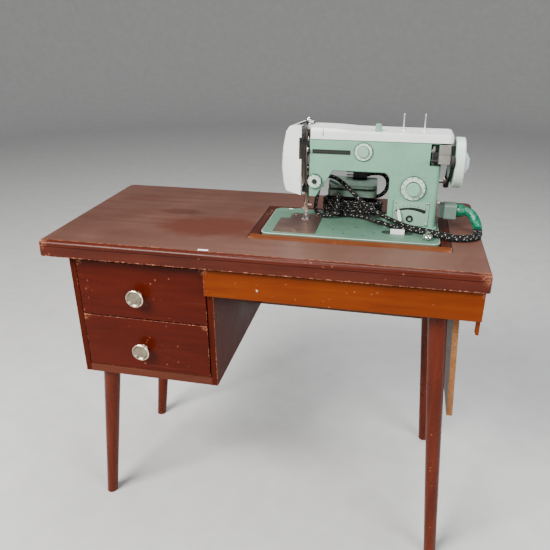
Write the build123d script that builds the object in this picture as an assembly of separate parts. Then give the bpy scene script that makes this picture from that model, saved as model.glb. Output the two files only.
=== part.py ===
from build123d import *
import math
import os

# A domestic two-tone sewing machine in its wooden table, with drawers, foot controller and leads.
# Millimetres, +Z up, +X to the right of the person sewing, +Y to the back.
# Origin: on the floor, under the middle of the table top.

# ---------------------------------------------------------------- driving dimensions
TABLE_W = 895.0          # table top, left to right
TABLE_D = 447.0          # table top, front to back
TABLE_H = 710.0          # table surface above the floor
TOP_T = 30.0             # table top thickness
LIPPING_D = 14.0         # front lipping, front to back
LIPPING_T = 33.0         # front lipping thickness

OPEN_X0, OPEN_X1 = 418.0, 833.0      # cut-out for the machine, from the table's left edge
OPEN_Y0, OPEN_Y1 = 104.0, 330.0      # the same, from the table's front edge
FRAME_DROP = 1.5                     # how far the wooden frame lies below the table surface
LEDGE_W = 14.0

PED_X0, PED_X1 = 52.0, 367.0         # drawer pedestal
PED_Y0, PED_Y1 = 24.0, 430.0
PED_Z0 = -322.0
PANEL_T = 13.0
DRAWER_X0, DRAWER_X1 = 65.8, 351.0
DRAWER_FRONT_T = 18.0
UPPER_Z0, UPPER_Z1 = -173.0, -45.0
LOWER_Z0, LOWER_Z1 = -302.0, -175.0
KNOB_R = 19.5
KNOB_OUT = 22.0

APRON_X0, APRON_X1 = 352.2, 889.0
APRON_Y0, APRON_T = 12.0, 12.0
APRON_Z0, APRON_Z1 = -98.0, -39.0
BACK_T = 10.0
END_X, END_T, END_LEAN = 839.0, 12.0, 3.3

LEG_TOP_R, LEG_FOOT_R = 19.5, 13.0

BED_X, BED_Y = 440.0, 137.0          # bed's front left corner on the table
BED_L, BED_D = 370.0, 178.0
BED_RISE = 2.0                       # bed surface above the table surface
BED_T = 6.0
BED_CORNER = 16.0
SKIRT_IN, SKIRT_T, SKIRT_Z = 7.0, 5.0, -30.0
BED_GAP = 1.5                        # gap between bed and wooden frame

TILT_Y, TILT_Z = 183.0, -6.0         # hinge axis of the head, in the head's own frame
TILT_XS = (55.0, 305.0)
PIN_R = 3.0
RUN = 0.05                           # radial running clearance

ARM_Y0, ARM_Y1 = 88.0, 160.0         # front and rear face of the arm
ARM_X0, ARM_X1 = 89.0, 360.0
HEAD_Z = 58.0                        # underside of the sewing head
ARCH_Z = 117.0                       # underside of the arm
PILLAR_X = 259.0
COVER_Z = 183.0                      # joint between the green casting and the white cover
COVER_TOP = 201.0
COVER_X0, COVER_X1 = 91.0, 380.0
PIN_Z0, PIN_Z1, SPOOL_PIN_R = 202.0, 231.0, 1.6   # free length and radius of the spool pins

SHAFT_Y, SHAFT_Z, SHAFT_R = 124.0, 138.0, 6.0
WHEEL_R, WHEEL_X0, WHEEL_X1 = 52.0, 386.0, 405.0
DRUM_R, GROOVE_R = 33.0, 28.0
BELT_X0, BELT_X1, BELT_T = 379.2, 384.8, 4.5
MOTOR_Y, MOTOR_Z, MOTOR_R = 200.0, 76.0, 29.0
MOTOR_X0, MOTOR_X1 = 278.0, 354.0
MOTOR_PULLEY_R = 8.0

NEEDLE_X, NEEDLE_Y = 80.0, 108.0
PRESSER_Y = 126.0
LIFTER_X, LIFTER_Z = 97.0, 88.0
REVERSE_AT = (307.0, 22.0)           # reverse button on the front of the pillar
PLATE_T = 1.8
KNUCKLE_R = 1.4                      # hinge of the face cover
TENSION_AT, TENSION_R = (101.5, 94.0), 15.5
FACE_AJAR = 13.5                     # the face cover stands open by this angle

CORD_D = 9.0
PILE_X, PILE_Y = 180.0, 156.25          # middle of the loose turns of the mains lead
PILE_STRAIGHT, PILE_BEND = 44.0, 20.25  # half their straight length, and the radius of their ends
PILE_Z0, PILE_Z1 = 0.4, 43.0
PEDAL_X0, PEDAL_X1 = 122.0, 232.0
PEDAL_Y0, PEDAL_Y1 = 150.0, 208.0
PEDAL_Z0 = 44.0
GLAND_X, GLAND_Z = 149.6, 51.0

# ---------------------------------------------------------------- frames and helpers
TABLE = Pos(-TABLE_W / 2, -TABLE_D / 2, TABLE_H)                    # left, front edge, surface
HEAD = TABLE * Pos(BED_X, BED_Y, BED_RISE)                          # bed's front left, surface
nodes = {}


def slab(x0, x1, y0, y1, z0, z1):
    """A rectangular block between two opposite corners."""
    middle = Pos((x0 + x1) / 2, (y0 + y1) / 2, (z0 + z1) / 2)
    return middle * Box(x1 - x0, y1 - y0, z1 - z0)


def rod_x(x0, x1, y, z, r):
    return Pos((x0 + x1) / 2, y, z) * Rot(0, 90, 0) * Cylinder(r, x1 - x0)


def rod_y(y0, y1, x, z, r):
    return Pos(x, (y0 + y1) / 2, z) * Rot(90, 0, 0) * Cylinder(r, y1 - y0)


def rod_z(z0, z1, x, y, r):
    return Pos(x, y, (z0 + z1) / 2) * Cylinder(r, z1 - z0)


def side_view(points, y0, y1):
    """A prism along Y from its outline in X and Z."""
    outline = Polyline(*[(x, y0, z) for x, z in points], close=True)
    return extrude(make_face(outline), amount=y1 - y0, dir=(0, 1, 0))


def turned_x(profile, y, z):
    """A solid turned about the X direction through (y, z), from (x, radius) pairs."""
    outline = Polyline(*[(x, y, z + r) for x, r in profile], close=True)
    return revolve(make_face(outline), Axis((0, y, z), (1, 0, 0)), 360)


def turned_y(profile, x, z):
    """A solid turned about the Y direction through (x, z), from (y, radius) pairs."""
    outline = Polyline(*[(x + r, y, z) for y, r in profile], close=True)
    return revolve(make_face(outline), Axis((x, 0, z), (0, 1, 0)), 360)


def turned_z(profile, x, y):
    """A solid turned about the Z direction through (x, y), from (z, radius) pairs."""
    outline = Polyline(*[(x + r, y, z) for z, r in profile], close=True)
    return revolve(make_face(outline), Axis((x, y, 0), (0, 0, 1)), 360)


def edges_along(shape, axis):
    return shape.edges().filter_by(axis)


def save(name, place, *solids):
    """Keep the solids of one node, moved from their own frame to the part's frame."""
    nodes[name] = [place * solid for solid in solids]


# ---------------------------------------------------------------- table top
def table_top():
    top = slab(0, TABLE_W, LIPPING_D, TABLE_D, -TOP_T, 0)
    rear = edges_along(top, Axis.Z).group_by(Axis.Y)[-1]
    top = fillet(rear, 15)
    top = fillet(top.faces().sort_by(Axis.Y)[-1].edges().filter_by(Axis.X), 4)
    top -= slab(OPEN_X0, OPEN_X1, OPEN_Y0, OPEN_Y1, -TOP_T - 1, 1)
    save("table_top", TABLE, top)

    lipping = slab(0, TABLE_W, 0, LIPPING_D, -LIPPING_T, 0)
    lipping = fillet(edges_along(lipping, Axis.Z).group_by(Axis.Y)[0], 8)
    lipping = fillet(lipping.faces().sort_by(Axis.Z)[-1].edges().group_by(Axis.Y)[0], 7)
    lipping -= slab(-1, TABLE_W + 1, -1, 1.2, -11.5, -10)
    save("front_lipping", TABLE, lipping)


def opening_frame():
    x0, x1 = BED_X - BED_GAP, BED_X + BED_L + BED_GAP
    y0, y1 = BED_Y - BED_GAP, BED_Y + BED_D + BED_GAP
    z0, z1 = -20.0, -FRAME_DROP
    left = slab(OPEN_X0 + 0.8, x0, y0 + 0.3, OPEN_Y1 - 0.5, z0, z1)
    right = slab(x1, OPEN_X1 - 1.6, y0 + 0.3, OPEN_Y1 - 0.5, z0, z1)
    rear = slab(x0, x1, y1, OPEN_Y1 - 0.5, z0, z1)
    for x in TILT_XS:
        rear -= slab(BED_X + x - 13, BED_X + x + 13, y1 - 1, OPEN_Y1 - 2, -17, 0)
    ledges = [
        slab(OPEN_X0, OPEN_X1, OPEN_Y0, OPEN_Y0 + LEDGE_W, -TOP_T, z0),
        slab(OPEN_X0, OPEN_X1, OPEN_Y1 - 10, OPEN_Y1, -TOP_T, z0),
        slab(OPEN_X0, OPEN_X0 + LEDGE_W, OPEN_Y0 + LEDGE_W, OPEN_Y1 - 10, -TOP_T, z0),
        slab(OPEN_X1 - LEDGE_W, OPEN_X1, OPEN_Y0 + LEDGE_W, OPEN_Y1 - 10, -TOP_T, z0),
    ]
    save("opening_frame", TABLE, left, right, rear, *ledges)

    strip = slab(OPEN_X0 + 0.8, OPEN_X1 - 1.6, OPEN_Y0 + 0.8, y0, z0, z1)
    strip += slab(x0 + 30, x1 - 30, y0, y0 + 6, -12, BED_RISE - BED_T - 0.1)
    save("opening_front_strip", TABLE, strip)


# ---------------------------------------------------------------- drawers and carcass
def carcass():
    left = slab(PED_X0, PED_X0 + PANEL_T, PED_Y0, PED_Y1, PED_Z0, -TOP_T)
    right = slab(PED_X1 - PANEL_T, PED_X1, PED_Y0, PED_Y1, PED_Z0, -TOP_T)
    save("pedestal_sides", TABLE, left, right)

    x0, x1 = PED_X0 + PANEL_T, PED_X1 - PANEL_T
    front_y = PED_Y0 + DRAWER_FRONT_T
    solids = [
        slab(x0, x1, PED_Y0, front_y, UPPER_Z1 + 0.8, -TOP_T),
        slab(x0, x1, PED_Y0, front_y, PED_Z0, LOWER_Z0 - 0.8),
        slab(x0, x1, front_y, PED_Y1, PED_Z0, PED_Z0 + 12),
    ]
    for z0, z1 in ((UPPER_Z0 - 4, UPPER_Z0 + 4.6), (PED_Z0 + 12, LOWER_Z0 + 4.6)):
        solids.append(slab(x0, x0 + 11, front_y + 4, PED_Y1 - 12, z0, z1))
        solids.append(slab(x1 - 11, x1, front_y + 4, PED_Y1 - 12, z0, z1))
    apron_back = APRON_Y0 + APRON_T
    solids.append(slab(PED_X1, APRON_X1, apron_back, apron_back + 12, -56, -TOP_T))
    save("inner_frame", TABLE, *solids)

    back = slab(PED_X0, END_X - 1.5, PED_Y1, PED_Y1 + BACK_T, PED_Z0, -TOP_T)
    save("back_board", TABLE, back)

    end = slab(0, END_T, 60, PED_Y1, -320, 0)
    end = Pos(END_X, 0, -TOP_T - 0.9) * Rot(0, -END_LEAN, 0) * end
    save("right_end_panel", TABLE, end)

    apron = slab(APRON_X0, APRON_X1, APRON_Y0, apron_back, APRON_Z0, APRON_Z1)
    apron = fillet(edges_along(apron, Axis.X).group_by(Axis.Y)[0], 1.5)
    cleat = slab(883, 889, apron_back, apron_back + 14, -132, -57)
    save("front_apron", TABLE, apron, cleat)

    screws = []
    for x, z in ((359.5, -50), (359.5, -88), (470, -47), (640, -47), (800, -47)):
        screws.append(turned_y([(APRON_Y0 - 0.8, 0), (APRON_Y0 - 0.8, 2.2), (APRON_Y0, 3.2), (APRON_Y0, 0)], x, z))
    save("apron_screws", TABLE, *screws)


def drawer(prefix, z0, z1):
    front = slab(DRAWER_X0, DRAWER_X1, PED_Y0, PED_Y0 + DRAWER_FRONT_T, z0, z1)
    front = fillet(front.faces().sort_by(Axis.Y)[0].edges(), 2)
    save(prefix + "_front", TABLE, front)

    y0, y1 = PED_Y0 + DRAWER_FRONT_T, PED_Y1 - 28
    outer = slab(DRAWER_X0 + 2, DRAWER_X1 - 1, y0, y1, z0 + 5, z1 - 18)
    inner = slab(DRAWER_X0 + 11, DRAWER_X1 - 10, y0 + 6, y1 - 9, z0 + 11, z1)
    save(prefix + "_box", TABLE, outer - inner)

    tip = PED_Y0 - KNOB_OUT
    profile = [
        (PED_Y0, 0), (PED_Y0, 9), (PED_Y0 - 2, 9), (PED_Y0 - 5, 6.5), (PED_Y0 - 11, 6.5),
        (tip + 8, KNOB_R - 4), (tip + 4, KNOB_R), (tip + 1.5, KNOB_R), (tip, KNOB_R - 1.5),
        (tip, KNOB_R - 3), (tip + 3, KNOB_R - 6), (tip + 4, 6), (tip + 4, 0),
    ]
    knob_x = (DRAWER_X0 + DRAWER_X1) / 2 - 7
    save(prefix + "_knob", TABLE, turned_y(profile, knob_x, (z0 + z1) / 2 - 7))


def leg(top, foot, top_r, foot_r):
    """A tapered round leg from its fixing plate to the floor, cut level at both ends."""
    start, end = Vector(*top), Vector(*foot)
    way = (end - start).normalized()
    start, end = start - way * 12, end + way * 12
    plane = Plane(origin=start, z_dir=way)
    length = (end - start).length
    cone = Cone(top_r, foot_r, length, align=(Align.CENTER, Align.CENTER, Align.MIN))
    return (plane.location * cone) & slab(-40, TABLE_W + 40, -40, TABLE_D + 40, foot[2], top[2])


def legs():
    under_pedestal, under_top, floor = PED_Z0 - 3, -TOP_T - 3, -TABLE_H
    ends = (
        ((97, 58, under_pedestal), (52, 50, floor)),
        ((97, 385, under_pedestal), (54, 378, floor)),
        ((808, 64, under_top), (859, 24, floor)),
        ((806, 396, under_top), (852, 424, floor)),
    )
    save("legs", TABLE, *[leg(top, foot, LEG_TOP_R, LEG_FOOT_R) for top, foot in ends])

    plates = []
    for top, foot in ends:
        x, y, z = top
        plate = slab(x - 30, x + 30, y - 26, y + 26, z, z + 3)
        plates.append(fillet(edges_along(plate, Axis.Z), 8))
    save("leg_plates", TABLE, *plates)


# ---------------------------------------------------------------- head hinge and bed
def hinges():
    solids = []
    for x in TILT_XS:
        base = slab(x - 12, x + 12, TILT_Y + 1.2, OPEN_Y1 - BED_Y - 2.2, -19, -15)
        for side in (-1, 1):
            middle = x + side * 8.5
            base += slab(middle - 2.5, middle + 2.5, TILT_Y - 2, OPEN_Y1 - BED_Y - 2.2, -19, TILT_Z)
            base += rod_x(middle - 2.5, middle + 2.5, TILT_Y, TILT_Z, 4.4)
        solids.append(base + rod_x(x - 11, x + 11, TILT_Y, TILT_Z, PIN_R))
    save("hinge_brackets", HEAD, *solids)


def bed():
    plate = slab(0, BED_L, 0, BED_D, -BED_T, 0)
    plate = fillet(edges_along(plate, Axis.Z), BED_CORNER)
    plate = fillet(plate.faces().sort_by(Axis.Z)[-1].edges(), 1.5)
    skirt = slab(SKIRT_IN, BED_L - SKIRT_IN, SKIRT_IN, BED_D - SKIRT_IN, SKIRT_Z, -BED_T)
    skirt = fillet(edges_along(skirt, Axis.Z), BED_CORNER - 4)
    wall = SKIRT_IN + SKIRT_T
    skirt -= slab(wall, BED_L - wall, wall, BED_D - wall, SKIRT_Z - 1, -BED_T)
    casting = plate + skirt
    for x in TILT_XS:
        lug = slab(x - 5, x + 5, BED_D - SKIRT_IN - 2, TILT_Y, TILT_Z - 4, TILT_Z + 4)
        lug += rod_x(x - 5, x + 5, TILT_Y, TILT_Z, 5)
        casting += lug
        casting -= rod_x(x - 30, x + 30, TILT_Y, TILT_Z, PIN_R + RUN)
    casting -= slab(36, 104, 20, 92, -BED_T - 1, 1)                       # over the hook
    casting -= slab(NEEDLE_X - 12, NEEDLE_X + 12, 92, 122, -BED_T - 1, 1)   # under the needle
    recess = slab(262, 306, 44, 62, -2, 1) + rod_z(-2, 1, 262, 53, 9) + rod_z(-2, 1, 306, 53, 9)
    casting -= recess
    casting -= slab(273, 297, 48, 58, -BED_T - 1, 1)
    for x, y in ((197, 70), (173, 28), (215, 20), (120, 26)):
        casting -= rod_z(-BED_T - 1, 1, x, y, 1.6)
    save("bed", HEAD, casting)


def plates():
    slide = slab(25, 115, 11, 100, 0, PLATE_T)
    slide = fillet(edges_along(slide, Axis.Z), 3)
    slide -= slab(66, 74, 22, 24, PLATE_T - 0.6, PLATE_T + 1)
    save("slide_plate", HEAD, Pos(0, 0, 0.1) * slide)

    plate = slab(46, 115, 100.6, 138, 0, PLATE_T)
    plate = fillet(edges_along(plate, Axis.Z).group_by(Axis.Y)[-1], 12)
    plate -= slab(NEEDLE_X - 4.5, NEEDLE_X + 4.5, NEEDLE_Y - 1.5, NEEDLE_Y + 1.5, -1, 3)
    for x in (-7.5, 7.5):
        middle = NEEDLE_X + x
        plate -= slab(middle - 2.2, middle + 2.2, 102, 121, -1, 3)
    for x in (56, 104):
        plate -= rod_z(-1, 3, x, 128, 2.1)
        plate += rod_z(0, PLATE_T, x, 128, 2.1) + turned_z([(0.4, 0), (0.4, 3.6), (2.4, 3.6), (2.9, 2.6), (2.9, 0)], x, 128)
    save("needle_plate", HEAD, plate)

    bar = slab(NEEDLE_X - 9.2, NEEDLE_X + 9.2, 104, 118, -5, -2.4)
    for x in (-7.5, 7.5):
        for step in range(7):
            y = 104.5 + 1.95 * step
            tooth = Polyline((0, y, -2.4), (0, y + 1.6, -2.4), (0, y + 1.6, 1.9), (0, y, 1.2), close=True)
            bar += Pos(NEEDLE_X + x - 1.6, 0, 0) * extrude(make_face(tooth), amount=3.2, dir=(1, 0, 0))
        bar += slab(NEEDLE_X + x - 1.6, NEEDLE_X + x + 1.6, 104.5, 118, -2.4, 0.9)
    bar -= rod_z(-6, 0, NEEDLE_X, NEEDLE_Y, 2.2)
    save("feed_dog", HEAD, bar)


# ---------------------------------------------------------------- arm and covers
def arm():
    outline = [
        (ARM_X0, HEAD_Z), (104, HEAD_Z), (140, ARCH_Z), (PILLAR_X, ARCH_Z), (PILLAR_X, 0),
        (ARM_X1, 0), (ARM_X1, COVER_Z), (ARM_X0, COVER_Z),
    ]
    casting = side_view(outline, ARM_Y0, ARM_Y1)
    arch_edge = casting.edges().filter_by(Axis.Y).filter_by_position(Axis.X, PILLAR_X - 1, PILLAR_X + 1)
    casting = fillet(arch_edge.group_by(Axis.Z)[-1], 13)
    casting = fillet(edges_along(casting, Axis.Z).group_by(Axis.X)[-1], 9)
    front = casting.faces().sort_by(Axis.Y)[0].edges()
    lower_front = [edge for edge in front if edge.center().Z < COVER_Z - 1 and edge.center().Z > 1]
    casting = fillet(lower_front, 2.5)
    casting += fillet(edges_along(slab(251, 365, 84, 164, 0, 4), Axis.Z), 10)
    casting -= slab(97, 330, 96, 152, ARCH_Z + 8, COVER_Z + 1)
    casting -= slab(PILLAR_X + 8, 330, 96, 152, 6, COVER_Z)
    casting -= rod_y(ARM_Y0 - 1, ARM_Y0 + 5, *REVERSE_AT, 7.6)
    casting -= slab(337, ARM_X1 + 2, ARM_Y0 - 1, 110, 136, 181)
    casting -= rod_x(80, ARM_X1 + 2, SHAFT_Y, SHAFT_Z, SHAFT_R + RUN)
    # the sewing head: two bearing brackets on a rear wall
    head = slab(72, ARM_X0, 146, 154, HEAD_Z + 4, COVER_Z - 3)
    head += slab(72, ARM_X0, 100, 148, HEAD_Z + 6, HEAD_Z + 18)
    head += slab(72, ARM_X0, 100, 148, COVER_Z - 16, COVER_Z - 3)
    head -= rod_z(0, 220, NEEDLE_X, NEEDLE_Y, 3.2 + RUN)
    head -= rod_z(0, 220, NEEDLE_X, PRESSER_Y, 3.5 + RUN)
    casting += head + rod_y(138, 147, 74.5, 120, 1.2)
    casting -= rod_y(136, ARM_Y1 + 1, LIFTER_X, LIFTER_Z, 3 + RUN)
    casting += rod_z(118, 130, ARM_X0, ARM_Y1 + 1.5, KNUCKLE_R) + slab(89.4, 92, ARM_Y1 - 1, ARM_Y1 + 2.4, 118, 130)
    save("arm_body", HEAD, casting)


def top_cover():
    left_hump = COVER_TOP + 4
    outline = [
        (COVER_X0, COVER_Z + 0.3), (COVER_X1, COVER_Z + 0.3), (COVER_X1, COVER_TOP - 6), (COVER_X1 - 2, COVER_TOP - 3),
        (COVER_X1 - 6, COVER_TOP - 1.5), (190, COVER_TOP), (150, left_hump - 1), (120, left_hump), (COVER_X0, left_hump),
    ]
    y0, y1 = ARM_Y0 - 2, ARM_Y1 + 2
    section = slab(COVER_X0 - 1, COVER_X1 + 1, y0, y1, COVER_Z, left_hump + 1)
    upper = section.edges().filter_by(Axis.X).group_by(Axis.Z)[-1]
    section = fillet(upper, 10)
    plan = slab(COVER_X0, COVER_X1, y0, y1, COVER_Z, left_hump + 2)
    plan = fillet(edges_along(plan, Axis.Z).group_by(Axis.X)[-1], 12)
    cover = side_view(outline, y0, y1) & section & plan
    cover -= slab(COVER_X0 - 1, COVER_X1 - 14, ARM_Y0 + 1, ARM_Y1 - 1, COVER_Z - 1, COVER_TOP - 6)
    cover -= slab(116.2, 117.8, ARM_Y0 - 3, ARM_Y0 + 14, COVER_Z + 6, left_hump + 1)
    cover -= rod_z(COVER_TOP - 7, COVER_TOP + 5, 229, 104, 4.5)
    save("top_cover", HEAD, cover)


def face_cover():
    """The hinged end cover, drawn shut and then turned open about its rear edge."""
    x1 = ARM_X0 - 0.5
    outline = [
        (x1, HEAD_Z + 2), (x1 - 40, HEAD_Z + 9), (44, 80), (40, 118), (43, 160), (50, 194), (57, 204), (66, 208), (x1, 208),
    ]
    shell = side_view(outline, ARM_Y0 - 1, ARM_Y1 + 1)
    shell = fillet([edge for edge in shell.edges() if edge.center().X < 60 and abs(edge.tangent_at(0.5).Y) < 0.1], 9)
    hollow = [
        (x1 + 1, HEAD_Z - 1), (x1 - 37, HEAD_Z - 1), (48, 82), (44, 118), (47, 158), (54, 192), (60, 201), (68, 205), (x1 + 1, 205),
    ]
    shell -= side_view(hollow, ARM_Y0 + 2, ARM_Y1 - 2)
    shell -= slab(70, x1 + 1, 100, 152, 200, 210)
    shell -= slab(83, x1 + 1, ARM_Y0 - 2, ARM_Y0 + 4, 138, 184)
    shell -= rod_y(ARM_Y0 - 2, ARM_Y0 + 0.4, *TENSION_AT, TENSION_R + 0.7)
    for z0, z1 in ((103, 117), (131, 145)):
        shell += rod_z(z0, z1, x1 + 0.5, ARM_Y1 + 1.5, KNUCKLE_R)
    shell -= rod_z(117.2, 130.8, x1 + 0.5, ARM_Y1 + 1.5, KNUCKLE_R + 0.5)
    ajar = Pos(x1 + 0.5, ARM_Y1 + 1.5, 0) * Rot(0, 0, -FACE_AJAR) * Pos(-x1 - 0.5, -ARM_Y1 - 1.5, 0)
    save("face_cover", HEAD, ajar * shell)
    screw = turned_x([(40.4, 0), (40.4, 3.4), (37.5, 3.4), (36, 5.2), (30, 5.2), (29, 4.2), (29, 0)], SHAFT_Y, 137)
    save("face_cover_screw", HEAD, ajar * screw)


# ---------------------------------------------------------------- needle and presser
def needle_parts():
    bar = rod_z(40, 192, NEEDLE_X, NEEDLE_Y, 3.2)
    clamp = fillet(edges_along(slab(NEEDLE_X - 5, NEEDLE_X + 5, NEEDLE_Y - 6, NEEDLE_Y + 3.4, 28, 40), Axis.Z), 2.5)
    clamp += rod_x(NEEDLE_X + 4, NEEDLE_X + 13, NEEDLE_Y - 1, 34, 2.6)
    clamp -= rod_z(27, 41, NEEDLE_X, NEEDLE_Y, 1.05)
    save("needle_bar", HEAD, bar + clamp)
    needle = turned_z([(40, 0), (40, 1.0), (20, 1.0), (18, 0.5), (5, 0.5), (1, 0.1), (1, 0)], NEEDLE_X, NEEDLE_Y)
    save("needle", HEAD, needle)

    presser = rod_z(16, 196, NEEDLE_X, PRESSER_Y, 3.5)
    presser += slab(NEEDLE_X - 4.5, NEEDLE_X + 4.5, PRESSER_Y - 2, PRESSER_Y + 12, 96, 106)
    save("presser_bar", HEAD, presser)
    shank = slab(NEEDLE_X - 3, NEEDLE_X + 3, PRESSER_Y - 10, PRESSER_Y - 3.5, 9, 30)
    shank += slab(NEEDLE_X - 3, NEEDLE_X + 3, NEEDLE_Y + 4, PRESSER_Y - 3.5, 5, 12)
    sole = slab(NEEDLE_X - 8, NEEDLE_X + 8, NEEDLE_Y - 12, NEEDLE_Y + 14, 2.2, 4.2)
    sole = fillet(edges_along(sole, Axis.Z), 3)
    sole -= slab(NEEDLE_X - 4, NEEDLE_X + 4, NEEDLE_Y - 2, NEEDLE_Y + 2, 0, 6)
    sole -= slab(NEEDLE_X - 1.5, NEEDLE_X + 1.5, NEEDLE_Y - 14, NEEDLE_Y, 0, 6)
    foot = sole + shank + slab(NEEDLE_X - 3, NEEDLE_X + 3, NEEDLE_Y + 4, NEEDLE_Y + 10, 4, 8)
    foot += rod_x(NEEDLE_X - 10, NEEDLE_X - 2, PRESSER_Y - 7, 22, 3)
    save("presser_foot", HEAD, foot)

    lifter = rod_y(160.5, 164.5, LIFTER_X, LIFTER_Z, 6) + rod_y(138, 161, LIFTER_X, LIFTER_Z, 3)
    lifter += Pos(LIFTER_X, 162.5, LIFTER_Z) * Rot(0, 155, 0) * Pos(0, 0, 15) * Box(6, 4, 30)
    save("presser_lifter", HEAD, lifter)

    ball = Pos(NEEDLE_X, PRESSER_Y, 215) * Sphere(7)
    knob = ball + rod_z(205.6, 211, NEEDLE_X, PRESSER_Y, 4.6)
    knob -= rod_z(195, 209, NEEDLE_X, PRESSER_Y, 3.5 + RUN)
    save("pressure_knob", HEAD, knob)

    lever = slab(84.6, 87.4, 84, 120, 158, 163)
    lever += rod_x(84.6, 87.4, 120, 160.5, 5.5)
    lever += rod_x(84.6, 87.4, 83, 160.5, 4.2)
    lever -= rod_x(84, 88, 83, 160.5, 1.4)
    save("take_up_lever", HEAD, lever)


# ---------------------------------------------------------------- dials and controls
def dial(name, x, z, ring_r, ring_t, hub_r, hub_out, hub_shift=0.0):
    y = ARM_Y0 - 0.3
    ring = turned_y([(y, 0), (y, ring_r), (y - ring_t + 1, ring_r), (y - ring_t, ring_r - 1.2), (y - ring_t, 0)], x, z)
    top = y - ring_t - hub_out
    hub = turned_y([(y - 1, 0), (y - 1, hub_r), (top + 1.5, hub_r), (top, hub_r - 1.5), (top, 0)], x + hub_shift, z)
    save(name, HEAD, ring + hub)


def controls():
    dial("width_dial", 202, 160, 19.3, 3.0, 11.5, 5.0)
    dial("pattern_dial", 309, 88, 26.0, 4.0, 14.5, 9.0)
    dial("tension_dial", *TENSION_AT, TENSION_R, 7.0, 5.0, 4.0)

    plate = slab(272, 345, ARM_Y0 - 1.8, ARM_Y0, 7, 60)
    plate = fillet(edges_along(plate, Axis.Y), 3)
    slot_mid, slot_r = (308, -32), 76.0
    ring = rod_y(ARM_Y0 - 3, ARM_Y0 - 0.6, *slot_mid, slot_r + 2.6) - rod_y(ARM_Y0 - 4, ARM_Y0, *slot_mid, slot_r - 2.6)
    plate -= ring & slab(275, 341, ARM_Y0 - 5, ARM_Y0, 30, 60)
    plate -= rod_y(ARM_Y0 - 3, ARM_Y0 + 1, *REVERSE_AT, 7.6)
    save("stitch_plate", HEAD, plate)

    handle = fillet(Box(6.4, 4, 24).edges().filter_by(Axis.Y), 2)
    lever = Pos(285.5, ARM_Y0 - 7.2, 29) * Rot(0, -14, 0) * handle
    lever += rod_y(ARM_Y0 - 6, ARM_Y0 - 0.9, 282.7, 39.4, 1.9)
    save("stitch_lever", HEAD, lever)
    button = turned_y([(87.6, 0), (87.6, 7), (84.4, 7), (83.6, 6.2), (83.6, 3), (84.4, 2), (84.4, 0)], *REVERSE_AT)
    save("reverse_button", HEAD, button)

    feed = fillet(slab(270, 299, 46.5, 59.5, -1.6, 6).edges().filter_by(Axis.Z), 1.5)
    feed += slab(281, 288, 49, 57, -9, -1.6)
    save("feed_button", HEAD, feed)

    x, y = 345.5, 26.0
    post = rod_z(0, 15, x, y, 3.2)
    discs = turned_z([(8.6, 0), (8.6, 10), (7.4, 10.6), (6.2, 9), (5, 10.6), (3.8, 10), (3.8, 0)], x, y)
    save("thread_guide", HEAD, post + discs + rod_z(11, 15.5, x, y, 5) + slab(x - 9, x + 9, y - 4, y + 4, 0, 2))

    knob = turned_z([(COVER_TOP + 0.4, 0), (COVER_TOP + 0.4, 8), (COVER_TOP + 2.5, 8), (COVER_TOP + 4, 6.5),
                     (214, 6.2), (215, 5.2), (215, 0)], 229, 104)
    save("selector_knob", HEAD, knob)

    pins = []
    for x in (279, 322):
        pin = turned_z([
            (COVER_TOP - 5, 0), (COVER_TOP - 5, 1.4), (COVER_TOP - 0.5, 1.4), (COVER_TOP - 0.5, 4),
            (PIN_Z0, 3.6), (PIN_Z0, SPOOL_PIN_R), (PIN_Z1, SPOOL_PIN_R), (PIN_Z1 + 1.5, 0.9), (PIN_Z1 + 1.5, 0),
        ], x, 135)
        pins.append(pin)
    save("spool_pins", HEAD, *pins)


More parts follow.
